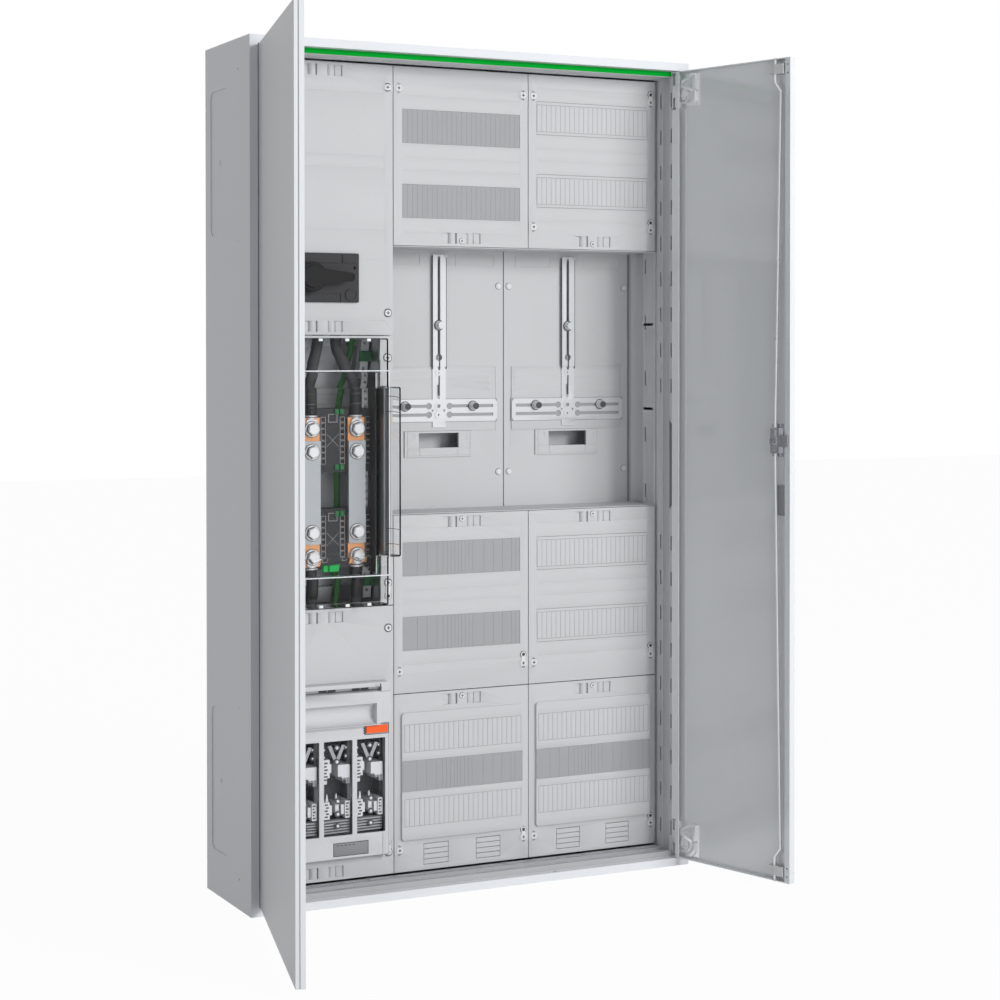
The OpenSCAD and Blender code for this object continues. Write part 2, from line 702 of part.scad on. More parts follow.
function low_locks(i, k0) = [for (p = [field_p(i) + lock_side, field_p(i + 1) - lock_side])
    [p, unit_at(k0) + lock_end]];
function high_locks(i, k1) = [for (p = [field_p(i) + lock_side, field_p(i + 1) - lock_side])
    [p, unit_at(k1) - lock_end]];
function grips_at(k0, k1) = [unit_at(k0) + grip_end, unit_at(k1) - grip_end];

row_w = module_w * module_n;

// opening of a module row
module row_opening(i, z) slab([field_mid(i) - row_w / 2, cover_d - cut, z - row_h / 2],
    [field_mid(i) + row_w / 2, cover_d + cover_t + cut, z + row_h / 2]);

// knock-out lines of a module row, in half modules
module row_lines(i, z, d) {
    n = 2 * module_n;
    for (k = [0 : n]) slab([field_mid(i) - row_w / 2 + k * row_w / n - 0.4, d - cut, z - row_h / 2],
        [field_mid(i) - row_w / 2 + k * row_w / n + 0.4, d + 0.9, z + row_h / 2]);
    for (e = [-1, 1]) slab([field_mid(i) - row_w / 2 - 0.4, d - cut, z + e * row_h / 2 - 0.4],
        [field_mid(i) + row_w / 2 + 0.4, d + 0.9, z + e * row_h / 2 + 0.4]);
}

row_frame = 28.3;

// lines round a closed module row
module row_frame_lines(i, z) {
    for (e = [-1, 1]) {
        slab([field_mid(i) - row_w / 2 - 1, cover_d - cut, z + e * row_frame - 0.5],
            [field_mid(i) + row_w / 2 + 1, cover_d + 0.8, z + e * row_frame + 0.5]);
        slab([field_mid(i) + e * (row_w / 2 + 0.6) - 0.5, cover_d - cut, z - row_frame],
            [field_mid(i) + e * (row_w / 2 + 0.6) + 0.5, cover_d + 0.8, z + row_frame]);
    }
}

// shallow line across a cover
module faint_line(i, z) slab([field_mid(i) - row_w / 2, cover_d - cut, z - 0.4],
    [field_mid(i) + row_w / 2, cover_d + 0.4, z + 0.4]);

// left field ------------------------------------------------------------------------------------

switch_p = field_mid(0) - 26;
switch_z = unit_at(6) + 95;
bezel_d = cover_d - 5;
shaft_r = 4;

// pan of a cover with all its cuts, then what stands in or on it
module finished_cover(i, k0, k1, grips, locks, tabs) {
    difference() {
        cover_body(i, k0, k1, grips);
        cover_cuts(i, grips, locks);
        children();
    }
    grip_bars(i, grips);
    for (l = tabs) lock_tab(i, l);
}

module switch_cover() color(plastic) cabinet() finished_cover(0, 6, 9, grips_at(6, 9),
    concat(low_locks(0, 6), high_locks(0, 9)), high_locks(0, 9)) {
    peg(switch_p, switch_z, 12, cover_d - cut, post_d);
    for (z = [unit_at(6) + 24.4, unit_at(7) - 24.4, unit_at(7) + 25, unit_at(8) - 22, unit_at(8) - 2,
        unit_at(9) - 47.6]) faint_line(0, z);
}

module switch_bezel() color(black) cabinet() difference() {
    union() {
        soft_plate([switch_p - bezel_w / 2, bezel_d, switch_z + 4 - bezel_h / 2 - 4.5],
            [switch_p + bezel_w / 2, cover_d, switch_z - 0.5 + bezel_h / 2], 2);
        slab([switch_p - bezel_w / 2 + 2, bezel_d - 1.5, switch_z + 24],
            [switch_p + bezel_w / 2 - 2, bezel_d, switch_z + bezel_h / 2 - 2.5]);
        peg(switch_p + 74, switch_z - 28.6, 10.4, bezel_d - 2, bezel_d);
        peg(switch_p, switch_z, knob_r + 4, bezel_d - 4, bezel_d);
    }
    peg(switch_p, switch_z, 9, bezel_d - 5, cover_d + cut);
    peg(switch_p + 80, switch_z + 16, 2.6, bezel_d - cut, cover_d - 1);
    slab([switch_p - 56, bezel_d - cut, switch_z - 40], [switch_p + 56, bezel_d + 1.5, switch_z - 26.5]);
    slab([switch_p + 57.4, bezel_d - 3, switch_z + 24], [switch_p + 58.4, bezel_d + 0.5, switch_z + 40]);
    peg(switch_p + 74, switch_z - 28.6, 8.4, bezel_d - 3, bezel_d - 1.2);
}

body_w = 156;
body_h = 80;
body_p = switch_p + 14;
outlet_p = [for (k = [-1 : 1]) switch_p + 41 + 32 * k];

module switch_body() color(black) cabinet() difference() {
    slab([body_p - body_w / 2, post_d + 2, switch_z - body_h / 2],
        [body_p + body_w / 2, member_d, switch_z + body_h / 2]);
    peg(switch_p, switch_z, shaft_r + 0.1, post_d, post_d + 22);
    // terminal pockets, top and bottom
    for (p = outlet_p, e = [-1, 1]) slab([p - 14, post_d + 15, switch_z + e * body_h / 2 - 14],
        [p + 14, member_d - 20, switch_z + e * body_h / 2 + 14]);
}

knob_d = [42, bezel_d - 2];

module switch_knob() color("#2d2d2f") cabinet() difference() {
    union() {
        peg(switch_p, switch_z, knob_r, knob_d[0] + 9, knob_d[1] - 3);
        peg(switch_p, switch_z, knob_r - 3, knob_d[0] + 4, knob_d[0] + 10);
        along(knob_d[0], knob_d[0] + 14) translate([switch_p, switch_z]) {
            circle(r = 18);
            polygon([[-10, -15], [0, -17.8], [12, -13.6], [26, -10.6], [lever_len - 4, -7.2], [lever_len, -4],
                [lever_len, 4], [lever_len - 4, 7.2], [26, 12.2], [12, 15], [0, 17.8], [-10, 15]]);
        }
    }
    peg(switch_p, switch_z, shaft_r, knob_d[0] + 6, knob_d[1] + cut);
    soft_plate([switch_p + lever_len - 15, knob_d[0] - cut, switch_z - 3.3],
        [switch_p + lever_len - 2, knob_d[0] + 1, switch_z + 3.3], 1);
}

module switch_shaft() color(zinc) cabinet() peg(switch_p, switch_z, shaft_r, knob_d[0] + 6, post_d + 20);

// hood over the link bars
hood_p = [field_p(0) + 23, field_p(1) - 23];
hood_z = [unit_at(3) + 5, unit_at(6) - 5];
hood_d = 41;
ear_p = [field_p(0) + 5, field_p(1) - 5];
ear_z = [(hood_z[0] + hood_z[1]) / 2 - 140, (hood_z[0] + hood_z[1]) / 2 + 140];
ear_d = 31;
pane_t = 2;

module hood_outline(grow, d0, d1) {
    soft_plate([hood_p[0] - grow, d0, hood_z[0] - grow], [hood_p[1] + grow, d1, hood_z[1] + grow], 3);
    soft_plate([ear_p[0] - grow, d0, ear_z[0] - grow], [ear_p[1] + grow, d1, ear_z[1] + grow], 3);
}

module link_cover() color(plastic) cabinet() difference() {
    pan(0, 3, 6);
    cover_cuts(0, [], concat(low_locks(0, 3), high_locks(0, 6)));
    hood_outline(fit, cover_d - cut, cover_d + cover_t + cut);
}

module clear_hood() color("#dfe9ee", 0.35) cabinet() difference() {
    union() {
        soft_plate([hood_p[0], hood_d, hood_z[0]], [hood_p[1], cover_d + cover_t + 1.5, hood_z[1]], 3);
        soft_plate([ear_p[0], ear_d, ear_z[0]], [ear_p[1], cover_d + cover_t + 1.5, ear_z[1]], 3);
        soft_plate([hood_p[0] + 20, ear_d + 4, hood_z[0] + 50], [hood_p[1] - 20, hood_d + 1,
            hood_z[1] - 54], 3);
        // flange behind the cover
        hood_outline(1.6, cover_d + cover_t, cover_d + cover_t + 1.5);
    }
    soft_plate([hood_p[0] + pane_t, hood_d + pane_t, hood_z[0] + pane_t],
        [hood_p[1] - pane_t, cover_d + 10, hood_z[1] - pane_t], 2);
    soft_plate([ear_p[0] + pane_t, ear_d + pane_t, ear_z[0] + pane_t],
        [ear_p[1] - pane_t, cover_d + 10, ear_z[1] - pane_t], 2);
    soft_plate([hood_p[0] + 20 + pane_t, ear_d + 4 + pane_t, hood_z[0] + 50 + pane_t],
        [hood_p[1] - 20 - pane_t, hood_d + 10, hood_z[1] - 54 - pane_t], 2);
    // ribs across the ears
    for (z = [ear_z[0] + 10, ear_z[0] + 26, ear_z[1] - 26, ear_z[1] - 10])
        slab([ear_p[0] - cut, ear_d - cut, z - 1], [ear_p[1] + cut, ear_d + 0.6, z + 1]);
}

link_mid_z = 663;
block_d = 135;
pad_t = 5;
block_half_w = 1.5 * link_pitch - 14;
pad_z = [[link_mid_z + 37, link_mid_z + 125], [link_mid_z - 124, link_mid_z - 35]];
block_z = [[link_mid_z + 33, link_mid_z + 140], [link_mid_z - 130, link_mid_z - 28]];
guard_z = [link_mid_z - 138, link_mid_z + 200];
bolt_z = [link_mid_z + 106, link_mid_z + 68, link_mid_z - 67, link_mid_z - 107];
strip_p = field_mid(0) + block_half_w - 10;
phases = [for (k = [-1 : 1]) field_mid(0) + k * link_pitch];

module link_blocks() color(black) cabinet() for (z = block_z) difference() {
    union() {
        slab([field_mid(0) - block_half_w, block_d, z[0]], [field_mid(0) + block_half_w, block_d + 8, z[1]]);
        slab([field_mid(0) - block_half_w + 11, block_d, z[0]],
            [field_mid(0) + block_half_w - 11, block_d + 40, z[1]]);
        // guards along both sides, between the hood and the blocks
        for (e = [-1, 1]) slab([field_mid(0) + min(e * block_half_w, e * (block_half_w + 2.5)), block_d - 25,
            guard_z[0]], [field_mid(0) + max(e * block_half_w, e * (block_half_w + 2.5)), block_d + 7.5,
            guard_z[1]]);
    }
    // ladder of pockets on both sides of each bar
    for (c = phases, e = [-1, 1], k = [0 : 7]) slab([c + e * (bar_w / 2 + 8) - 3.5, block_d - cut,
        (z[0] + z[1]) / 2 + (k - 4) * 10 + 1], [c + e * (bar_w / 2 + 8) + 3.5, block_d + 3,
        (z[0] + z[1]) / 2 + (k - 4) * 10 + 8.5]);
}

module perforated_strips() color(zinc) cabinet() for (e = [-1, 1]) difference() {
    union() {
        slab([field_mid(0) + e * (strip_p + 7 - field_mid(0)) - 7, block_d + 8, unit_at(3) + 5],
            [field_mid(0) + e * (strip_p + 7 - field_mid(0)) + 7, block_d + 10, unit_at(6) - 5]);
        slab([field_mid(0) + e * (strip_p + 13 - field_mid(0)) - 1, block_d + 8, unit_at(3) + 5],
            [field_mid(0) + e * (strip_p + 13 - field_mid(0)) + 1, e < 0 ? rail_d : member_d, unit_at(6) - 5]);
    }
    for (z = [unit_at(3) + 18 : 13 : unit_at(6) - 15])
        peg(field_mid(0) + e * (strip_p + 6 - field_mid(0)), z, 2.5, block_d, block_d + 12);
}

bolt_r = 5;

module copper_pads() color(copper) cabinet() for (c = phases, z = pad_z) difference() {
    slab([c - bar_w / 2, block_d - pad_t, z[0]], [c + bar_w / 2, block_d, z[1]]);
    for (b = bolt_z) peg(c, b, bolt_r + fit, block_d - pad_t - cut, block_d + cut);
}

module link_bars() color(zinc) cabinet() for (c = phases) difference() {
    slab([c - bar_w / 2, block_d - 2 * pad_t, link_mid_z - bar_len / 2],
        [c + bar_w / 2, block_d - pad_t, link_mid_z + bar_len / 2]);
    for (b = [bolt_z[1], bolt_z[2]]) peg(c, b, bolt_r + fit, 0, block_d);
}

lug_z = [block_z[0][1] + 1, block_z[1][0] - 1];

// palm and barrel of a lug, above (e = 1) or below (e = -1) the bars
module lug(c, e) {
    z = e > 0 ? bolt_z[0] : bolt_z[3];
    end = e > 0 ? lug_z[0] : lug_z[1];
    difference() {
        along(block_d - 2 * pad_t, block_d - pad_t) {
            translate([c, z]) circle(r = 14);
            translate([c - 12, min(z, end)]) square([24, abs(end - z)]);
        }
        peg(c, z, bolt_r + fit, 0, block_d);
    }
    translate([c, cable_d, min(end, end + e * 26)]) cylinder(r = cable_dia / 2 - 1, h = 26);
}

module cable_lugs() color("#5b5d60") cabinet() for (c = phases, e = [-1, 1]) lug(c, e);

// bolt, flat washer and hexagon head
module hex_bolt(c, z) {
    front = block_d - 2 * pad_t;
    peg(c, z, bolt_r, front - 2, block_d);
    peg(c, z, 13, front - 2, front);
    translate([c, front - 2, z]) rotate([90, 0, 0]) cylinder(r = 10.6, h = 8, $fn = 6);
}

module hex_bolts() color(zinc) cabinet() for (c = phases, z = bolt_z) hex_bolt(c, z);

// tube swept along a smooth curve through its points
function bend(a, b, c, d, t) = 0.5 * ((2 * b) + (c - a) * t + (2 * a - 5 * b + 4 * c - d) * t * t
    + (3 * b - a - 3 * c + d) * t * t * t);
function stop_at(v, i) = v[max(0, min(len(v) - 1, i))];
function route(v, n) = [for (i = [0 : len(v) - 2], k = [0 : n - 1])
    bend(stop_at(v, i - 1), v[i], v[i + 1], stop_at(v, i + 2), k / n), v[len(v) - 1]];
function unit_of(v) = v / norm(v);
function ring(v, i, r, sides) = let (
    t = i == 0 || i == len(v) - 1 ? [0, 0, 1] : unit_of(stop_at(v, i + 1) - stop_at(v, i - 1)),
    flip = t.z < 0 ? -1 : 1,
    a = unit_of(cross(t * flip, [0, 1, 0])), b = cross(t * flip, a))
    [for (k = [0 : sides - 1]) v[i] + r * (a * cos(360 * k / sides) + b * sin(360 * k / sides))];

module tube(points, r, steps, sides = 10) {
    v = route(points, steps);
    rings = [for (i = [0 : len(v) - 1]) each ring(v, i, r, sides)];
    last = len(v) - 1;
    polyhedron(rings, concat(
        [[for (k = [0 : sides - 1]) k]],
        [for (i = [0 : last - 1], k = [0 : sides - 1]) let (n = (k + 1) % sides)
            [i * sides + k, (i + 1) * sides + k, (i + 1) * sides + n, i * sides + n]],
        [[for (k = [sides - 1 : -1 : 0]) last * sides + k]]));
}

cable_d = block_d - 2 * pad_t + cable_dia / 2 - 2;
lug_top = lug_z[0] + 26;

module phase_cables() color(black) cabinet() for (k = [0 : 2]) {
    c = phases[k];
    s = outlet_p[k];
    tube([[c, cable_d, lug_top], [c, cable_d, lug_top + 10], [(c + s) / 2, cable_d + 3, lug_top + 46],
        [s, cable_d + 6, lug_top + 84], [s, cable_d + 6, switch_z - body_h / 2 + 13]],
        cable_dia / 2, 2);
    b = unit_mid_p + pole_pitch * (k - 1);
    tube([[b, cable_d + 4, unit_top], [b, cable_d + 4, unit_top + 25],
        [(b + c) / 2, cable_d + 2, unit_top + 85],
        [c, cable_d, lug_z[1] - 46], [c, cable_d, lug_z[1] - 26]], cable_dia / 2, 2);
}

earth_r = 5.5;
earth_d = member_d - 7;
earth_route = [[215, earth_d, 1305], [215, earth_d, 1280], [232, earth_d, 1080], [244, earth_d, 920],
    [233, earth_d, 867], [219, earth_d, 808], [216, earth_d, 740], [216, earth_d, 640], [212.5, earth_d, 523],
    [212, earth_d, 440], [212, earth_d, 415]];

module earth_cable() color("#3f9a4d") cabinet() tube(earth_route, earth_r, 1);

module earth_terminal(z0, z1) slab([200, member_d - 18, z0], [230, member_d, z1]);

module earth_terminals() color("#2f8a42") cabinet() {
    earth_terminal(1305, 1345);
    earth_terminal(375, 415);
}

// fuse switch -----------------------------------------------------------------------------------

unit_mid_p = field_mid(0) + 18;
unit_z0 = unit_at(0) + 37;
unit_top = unit_z0 + unit_h;
unit_p = [unit_mid_p - unit_w / 2 + fit, unit_mid_p + unit_w / 2 - fit];
unit_d = 54;
base_d = 80;
rail_t = 1.5;
pillar_w = 19;
pocket_d = base_d + 30;
pillar_z = unit_top - 62;
poles = [for (k = [-1 : 1]) unit_mid_p + k * pole_pitch];
lid_pin = [62, unit_z0 + 9];
pane_z0 = unit_z0 + 41;

module fuse_cover() color(plastic) cabinet() finished_cover(0, 0, 3, grips_at(0, 3),
    concat(low_locks(0, 0), high_locks(0, 3)), [])
    slab([unit_p[0] - fit, cover_d - cut, unit_z0 - fit], [unit_p[1] + fit, cover_d + 5, unit_top + 4 + fit]);

module fuse_base() color(black) cabinet() difference() {
    slab([unit_p[0], base_d, unit_z0], [unit_p[1], member_d, unit_top]);
    for (c = poles) {
        slab([c - pane_w / 2, base_d - cut, pane_z0 + 22], [c + pane_w / 2, pocket_d, pane_z0 + pane_h + 2]);
        // arc-chute slats at the foot of each pole
        for (k = [0 : 4]) slab([c - 23, base_d - cut, pane_z0 + 1 + 4 * k],
            [c + 23, base_d + 14, pane_z0 + 3.4 + 4 * k]);
    }
}

module fuse_frame() color("#c3c6c7") cabinet() difference() {
    union() {
        for (p = [unit_p[0], unit_p[1] - rail_t])
            slab([p, unit_d, unit_z0], [p + rail_t, base_d, unit_top]);
        slab([unit_p[0], unit_d, unit_top - 3], [unit_p[1], base_d, unit_top + 4]);
        slab([unit_p[0], unit_d + 10, bar_z[1] + 1], [unit_p[1], base_d, unit_top]);
        for (p = [unit_p[0], unit_p[1] - pillar_w])
            slab([p, unit_d - 8, pillar_z], [p + pillar_w, base_d, bar_z[1] - 2]);
        for (p = [unit_p[0], unit_p[1] - 14]) slab([p, unit_d, bar_z[1] - 3], [p + 14, base_d, unit_top]);
    }
    for (c = poles, e = [-1, 1]) slab([c - 15.5 + e * 7.8 - 7, unit_d + 10 - cut, bar_z[1] + 3],
        [c - 15.5 + e * 7.8 + 7, unit_d + 16, bar_z[1] + 7]);
    for (p = [unit_p[0] - cut, unit_p[1] - rail_t - cut]) translate([p, lid_pin[0], lid_pin[1]])
        rotate([0, 90, 0]) cylinder(r = 2.6, h = rail_t + 2 * cut);
}

lid_p = [unit_p[0] + rail_t + 0.5, unit_p[1] - rail_t - 0.5];
grip_p = [unit_p[0] + pillar_w + 1, unit_p[1] - pillar_w - 1];
bar_z = [unit_top - 28, unit_top - 9];

module fuse_lid() color("#c8cbcc") cabinet() difference() {
    union() {
        difference() {
            slab([lid_p[0], unit_d, unit_z0 + 3], [lid_p[1], base_d - 4, pillar_z - 1]);
            slab([lid_p[0] + 1.5, unit_d + 3, unit_z0 + 6], [lid_p[1] - 1.5, base_d, pillar_z - 4]);
        }
        // grip bar, with the hollow behind and below it
        difference() {
            slab([grip_p[0], unit_d - 14, pillar_z - 3], [grip_p[1], base_d - 8, bar_z[1]]);
            translate([grip_p[0] + 8, unit_d - 14, bar_z[0] - 17]) rotate([0, 90, 0])
                cylinder(r = 17, h = grip_p[1] - grip_p[0] - 16);
            slab([grip_p[0] - cut, unit_d - 20, pillar_z - 10], [grip_p[1] + cut, unit_d - 10, bar_z[0] - 34]);
        }
        for (p = [lid_p[0] - rail_t, lid_p[1] - 1]) translate([p, lid_pin[0], lid_pin[1]])
            rotate([0, 90, 0]) cylinder(r = 2.5, h = rail_t + 1);
    }
    for (c = poles) soft_plate([c - pane_w / 2, unit_d - cut, pane_z0], [c + pane_w / 2, unit_d + 4,
        pane_z0 + pane_h], 1.5);
    // bed of the label, line of the foot piece, notches beside the tab
    slab([unit_mid_p - 9, unit_d - cut, unit_z0 + 7], [unit_mid_p + 53, unit_d + 0.7, unit_z0 + 28.5]);
    slab([unit_p[1] - 13, unit_d - cut, unit_z0], [unit_p[1] - 12.2, unit_d + 0.8, pane_z0 - 2]);
    for (k = [0 : 2]) slab([unit_p[1] - 44.5, unit_d - cut, pillar_z - 16 + 4 * k],
        [unit_p[1] - 41.5, unit_d + 1, pillar_z - 14 + 4 * k]);
}

module lid_panes() color("#9fa8ad", 0.4) cabinet() for (c = poles)
    slab([c - pane_w / 2 - 2, unit_d + 3, pane_z0 - 2],
        [c + pane_w / 2 + 2, unit_d + 4.5, pane_z0 + pane_h + 2]);

// spring jaws, carrier blocks and screws of one pole, seen through its window
jaw_d = unit_d + 8;

// block between two heights, from the jaws' front to the floor of the pocket
module carrier(p0, p1, z0, z1, front = jaw_d) slab([p0, front, z0], [p1, pocket_d, z1]);

module contact_set(c) {
    z = pane_z0 + 121;
    low = pane_z0 + 55;
    along(jaw_d, jaw_d + 4) translate([c, z]) for (e = [-1, 1])
        polygon([[-e * 3, -2], [e * 3, -2], [e * 15.2, 26], [e * 9.4, 27.4]]);
    for (k = [0, 23]) peg(c, z + k, k == 0 ? 3.6 : 2, jaw_d - 1, pocket_d);
    // stepped carriers beside the fuse link
    carrier(c - 23.5, c - 12, z - 26, z + 4);
    carrier(c - 23.5, c - 17, z - 36, z - 25);
    carrier(c - 13, c - 8, z - 18, z - 4, jaw_d + 3);
    carrier(c + 2.5, c + 23.5, z - 25, z - 6);
    carrier(c + 9, c + 23.5, z - 31, z - 24);
    carrier(c + 16, c + 23.5, z - 37, z - 30);
    carrier(c - 22, c - 12, low - 28, low);
    carrier(c + 15, c + 23.5, low - 28, low);
    carrier(c - 13, c - 7, low - 22, low - 6, jaw_d + 3);
    carrier(c + 9, c + 16, low - 22, low - 6, jaw_d + 3);
    for (k = [0, 21.5]) peg(c + 1.5, low + 1 - k, 3.2, jaw_d - 1, pocket_d);
    carrier(c - 1.5, c + 4.5, low - 20, low, jaw_d + 2);
    // springs that stand up behind the lower jaws
    for (s = [-14.6, 1.7]) along(jaw_d + 6, jaw_d + 9) translate([c + s, low - 1])
        polygon([[-2.6, 0], [2.6, 0], [0.7, 13], [-0.7, 13]]);
}

module fuse_contacts() color("#cfd2d3") cabinet() for (c = poles) contact_set(c);

module latch_tab() color("#ff6a30") cabinet() soft_plate([unit_p[1] - 42, unit_d - 3, pillar_z - 17],
    [unit_p[1] - 3.7, unit_d, pillar_z - 4.5], 1);

// middle and right fields -----------------------------------------------------------------------

rows_high = [for (k = [0, 1]) 100 + k * row_pitch];
rows_low = [for (k = [0, 1]) 75 + k * row_pitch];
panel_z = [54, 268];
panel_rise = 5;
panel_half = 112;
vent_z = [9.7, 44.5];
bed_h = 57;                       // height of the strips' beds in the covers
bed_t = 1.5;
low_bed_h = 52;
low_bed_z = unit_at(0) + rows_high[0] + row_pitch / 2 - 1;

// grille: outline and lines across it
module vent_lines(p, z0, z1) {
    for (k = [0 : 4]) slab([p - 22.9, cover_d - cut, z0 + k * (z1 - z0) / 4 - 0.5],
        [p + 22.9, cover_d + cover_t + cut, z0 + k * (z1 - z0) / 4 + 0.5]);
    for (e = [-1, 1]) slab([p + e * 22.4 - 0.5, cover_d - cut, z0], [p + e * 22.4 + 0.5, cover_d + 1.4, z1]);
}

module low_cover(i) {
    finished_cover(i, 0, 2, [unit_at(2) - grip_end], low_locks(i, 0), low_locks(i, 0)) {
        slab([field_mid(i) - panel_half + 2.5, cover_d - cut, unit_at(0) + panel_z[0] + 2.5],
            [field_mid(i) + panel_half - 2.5, cover_d + cover_t + cut, unit_at(0) + panel_z[1] - 2.5]);
        for (e = [-1, 1]) vent_lines(field_mid(i) + e * 48.4, unit_at(0) + vent_z[0], unit_at(0) + vent_z[1]);
        peg(field_mid(i), unit_at(2) - screw_end, 2.2, cover_d - cut, post_d);
    }
    // raised panel with two closed rows and the bed of the numbered strip between them
    difference() {
        soft_plate([field_mid(i) - panel_half, cover_d - panel_rise, unit_at(0) + panel_z[0]],
            [field_mid(i) + panel_half, cover_d + 0.5, unit_at(0) + panel_z[1]], 5);
        slab([field_mid(i) - panel_half + 2.5, cover_d - panel_rise + 2.5, unit_at(0) + panel_z[0] + 2.5],
            [field_mid(i) + panel_half - 2.5, cover_d + cover_t + cut, unit_at(0) + panel_z[1] - 2.5]);
        for (z = rows_high) row_lines(i, unit_at(0) + z, cover_d - panel_rise);
        slab([field_mid(i) - panel_half - cut, cover_d - panel_rise - cut, low_bed_z - low_bed_h / 2],
            [field_mid(i) + panel_half + cut, cover_d - panel_rise + 1.2, low_bed_z + low_bed_h / 2]);
    }
}

// screw hole between the two grips of a cover's end
module screw_hole(i, z) peg(field_mid(i), z, 2.2, cover_d - cut, post_d);

module open_cover(i, k0, k1, rows, grips, locks, screw) finished_cover(i, k0, k1, grips, locks, locks) {
    for (z = rows) {
        row_opening(i, unit_at(k0) + z);
        slab([field_mid(i) - row_w / 2 - 1, cover_d - cut, unit_at(k0) + z - bed_h / 2],
            [field_mid(i) + row_w / 2 + 1, cover_d + bed_t, unit_at(k0) + z + bed_h / 2]);
        for (e = [-1, 1]) faint_line(i, unit_at(k0) + z + e * 52);
    }
    screw_hole(i, screw);
}

module closed_cover(i, k0, k1, rows, grips, locks, screw) finished_cover(i, k0, k1, grips, locks, locks) {
    for (z = rows) {
        row_lines(i, unit_at(k0) + z, cover_d);
        row_frame_lines(i, unit_at(k0) + z);
        for (e = [-1, 1]) faint_line(i, unit_at(k0) + z + e * 52);
    }
    screw_hole(i, screw);
}

module middle_covers() color(plastic) cabinet() {
    open_cover(1, 7, 9, rows_low, [unit_at(7) + grip_end], high_locks(1, 9), unit_at(7) + screw_end);
    open_cover(1, 2, 4, rows_high, [unit_at(4) - grip_end], low_locks(1, 2), unit_at(4) - screw_end);
    low_cover(1);
}

module right_covers() color(plastic) cabinet() {
    closed_cover(2, 7, 9, rows_high, [unit_at(7) + grip_end], concat(low_locks(2, 7), high_locks(2, 9)),
        unit_at(7) + screw_end);
    closed_cover(2, 2, 4, rows_high, [unit_at(4) - grip_end], low_locks(2, 2), unit_at(4) - screw_end);
    low_cover(2);
}

strip_rows = [for (z = rows_low) unit_at(7) + z, for (z = rows_high) unit_at(2) + z];

// breaking lines of a numbered strip: whole modules at both ends, closer ones between
number_lines = [26, 44, 62, 73, 81, 88, 95, 101, 107, 114, 121, 128, 149, 167, 184, 201, 209];

module blanking_strips() color("#adafb1") cabinet() {
    for (k = [0 : 3]) difference() {
        z = strip_rows[k];
        union() {
            slab([field_mid(1) - row_w / 2 - 0.6, cover_d + 0.7, z - bed_h / 2 + fit],
                [field_mid(1) + row_w / 2 + 0.6, cover_d + bed_t, z + bed_h / 2 - fit]);
            slab([field_mid(1) - row_w / 2 + fit, cover_d + 1, z - row_h / 2 + fit],
                [field_mid(1) + row_w / 2 - fit, cover_d + 4, z + row_h / 2 - fit]);
        }
        if (k < 2) for (n = [1 : 2 * module_n - 1]) slab([field_mid(1) - row_w / 2 + n * module_w / 2 - 0.35,
            cover_d, z - row_h / 2 - 8], [field_mid(1) - row_w / 2 + n * module_w / 2 + 0.35,
            cover_d + 1.1, z + row_h / 2 + 8]);
        else for (n = number_lines) slab([field_mid(1) - row_w / 2 + n - 0.35, cover_d, z - row_h / 2 - 8],
            [field_mid(1) - row_w / 2 + n + 0.35, cover_d + 1.1, z + row_h / 2 + 8]);
    }
    for (i = [1, 2]) difference() {
        slab([field_mid(i) - panel_half + 0.3, cover_d - panel_rise + 0.3, low_bed_z - low_bed_h / 2 + fit],
            [field_mid(i) + panel_half - 0.3, cover_d - panel_rise + 1.2, low_bed_z + low_bed_h / 2 - fit]);
        for (n = number_lines) slab([field_mid(i) - panel_half + n - 0.35, cover_d - panel_rise - cut,
            low_bed_z - low_bed_h], [field_mid(i) - panel_half + n + 0.35, cover_d - panel_rise + 0.7,
            low_bed_z + low_bed_h]);
    }
}

rail_depth = post_d + 20;

module din_rail(p0, p1, z) across(p0, p1) translate([rail_depth, z]) {
    for (e = [-1, 1]) {
        translate([0, e * 15 - 2.5]) square([1, 5]);
        translate([0, e * 13 - 0.5]) square([7.5, 1]);
    }
    translate([6.5, -13.5]) square([1, 27]);
}

din_rows = [[for (z = rows_low) unit_at(7) + z, for (z = rows_high) unit_at(2) + z,
        for (z = rows_high) unit_at(0) + z],
    [for (z = rows_high) unit_at(7) + z, for (z = rows_high) unit_at(2) + z,
        for (z = rows_high) unit_at(0) + z]];

module din_rails() color(zinc) cabinet() for (i = [1, 2], z = din_rows[i - 1])
    din_rail(field_p(i) + post_w / 2, i == 2 ? cab_w - inside_p : field_p(i + 1) - post_w / 2, z);

// meter plates ----------------------------------------------------------------------------------

step_z = bay_z[0] + 136;
step_rise = 2;
cross_t = 2.5;
arm_w = 24.6;
beam_z = [bay_z[0] + 151.8, bay_z[0] + 190.4];
beam_w = 221;
window_z = [bay_z[0] + 106.5, bay_z[0] + 132];
window_w = 75;
plate_screw_in = 62;

// raised outline on a meter plate
module relief(i, p0, p1, z0, z1, w) difference() {
    slab([field_mid(i) + p0, meter_d - 0.8, z0], [field_mid(i) + p1, meter_d + 0.1, z1]);
    slab([field_mid(i) + p0 + w, meter_d - 2, z0 + w], [field_mid(i) + p1 - w, meter_d + 1, z1 - w]);
}

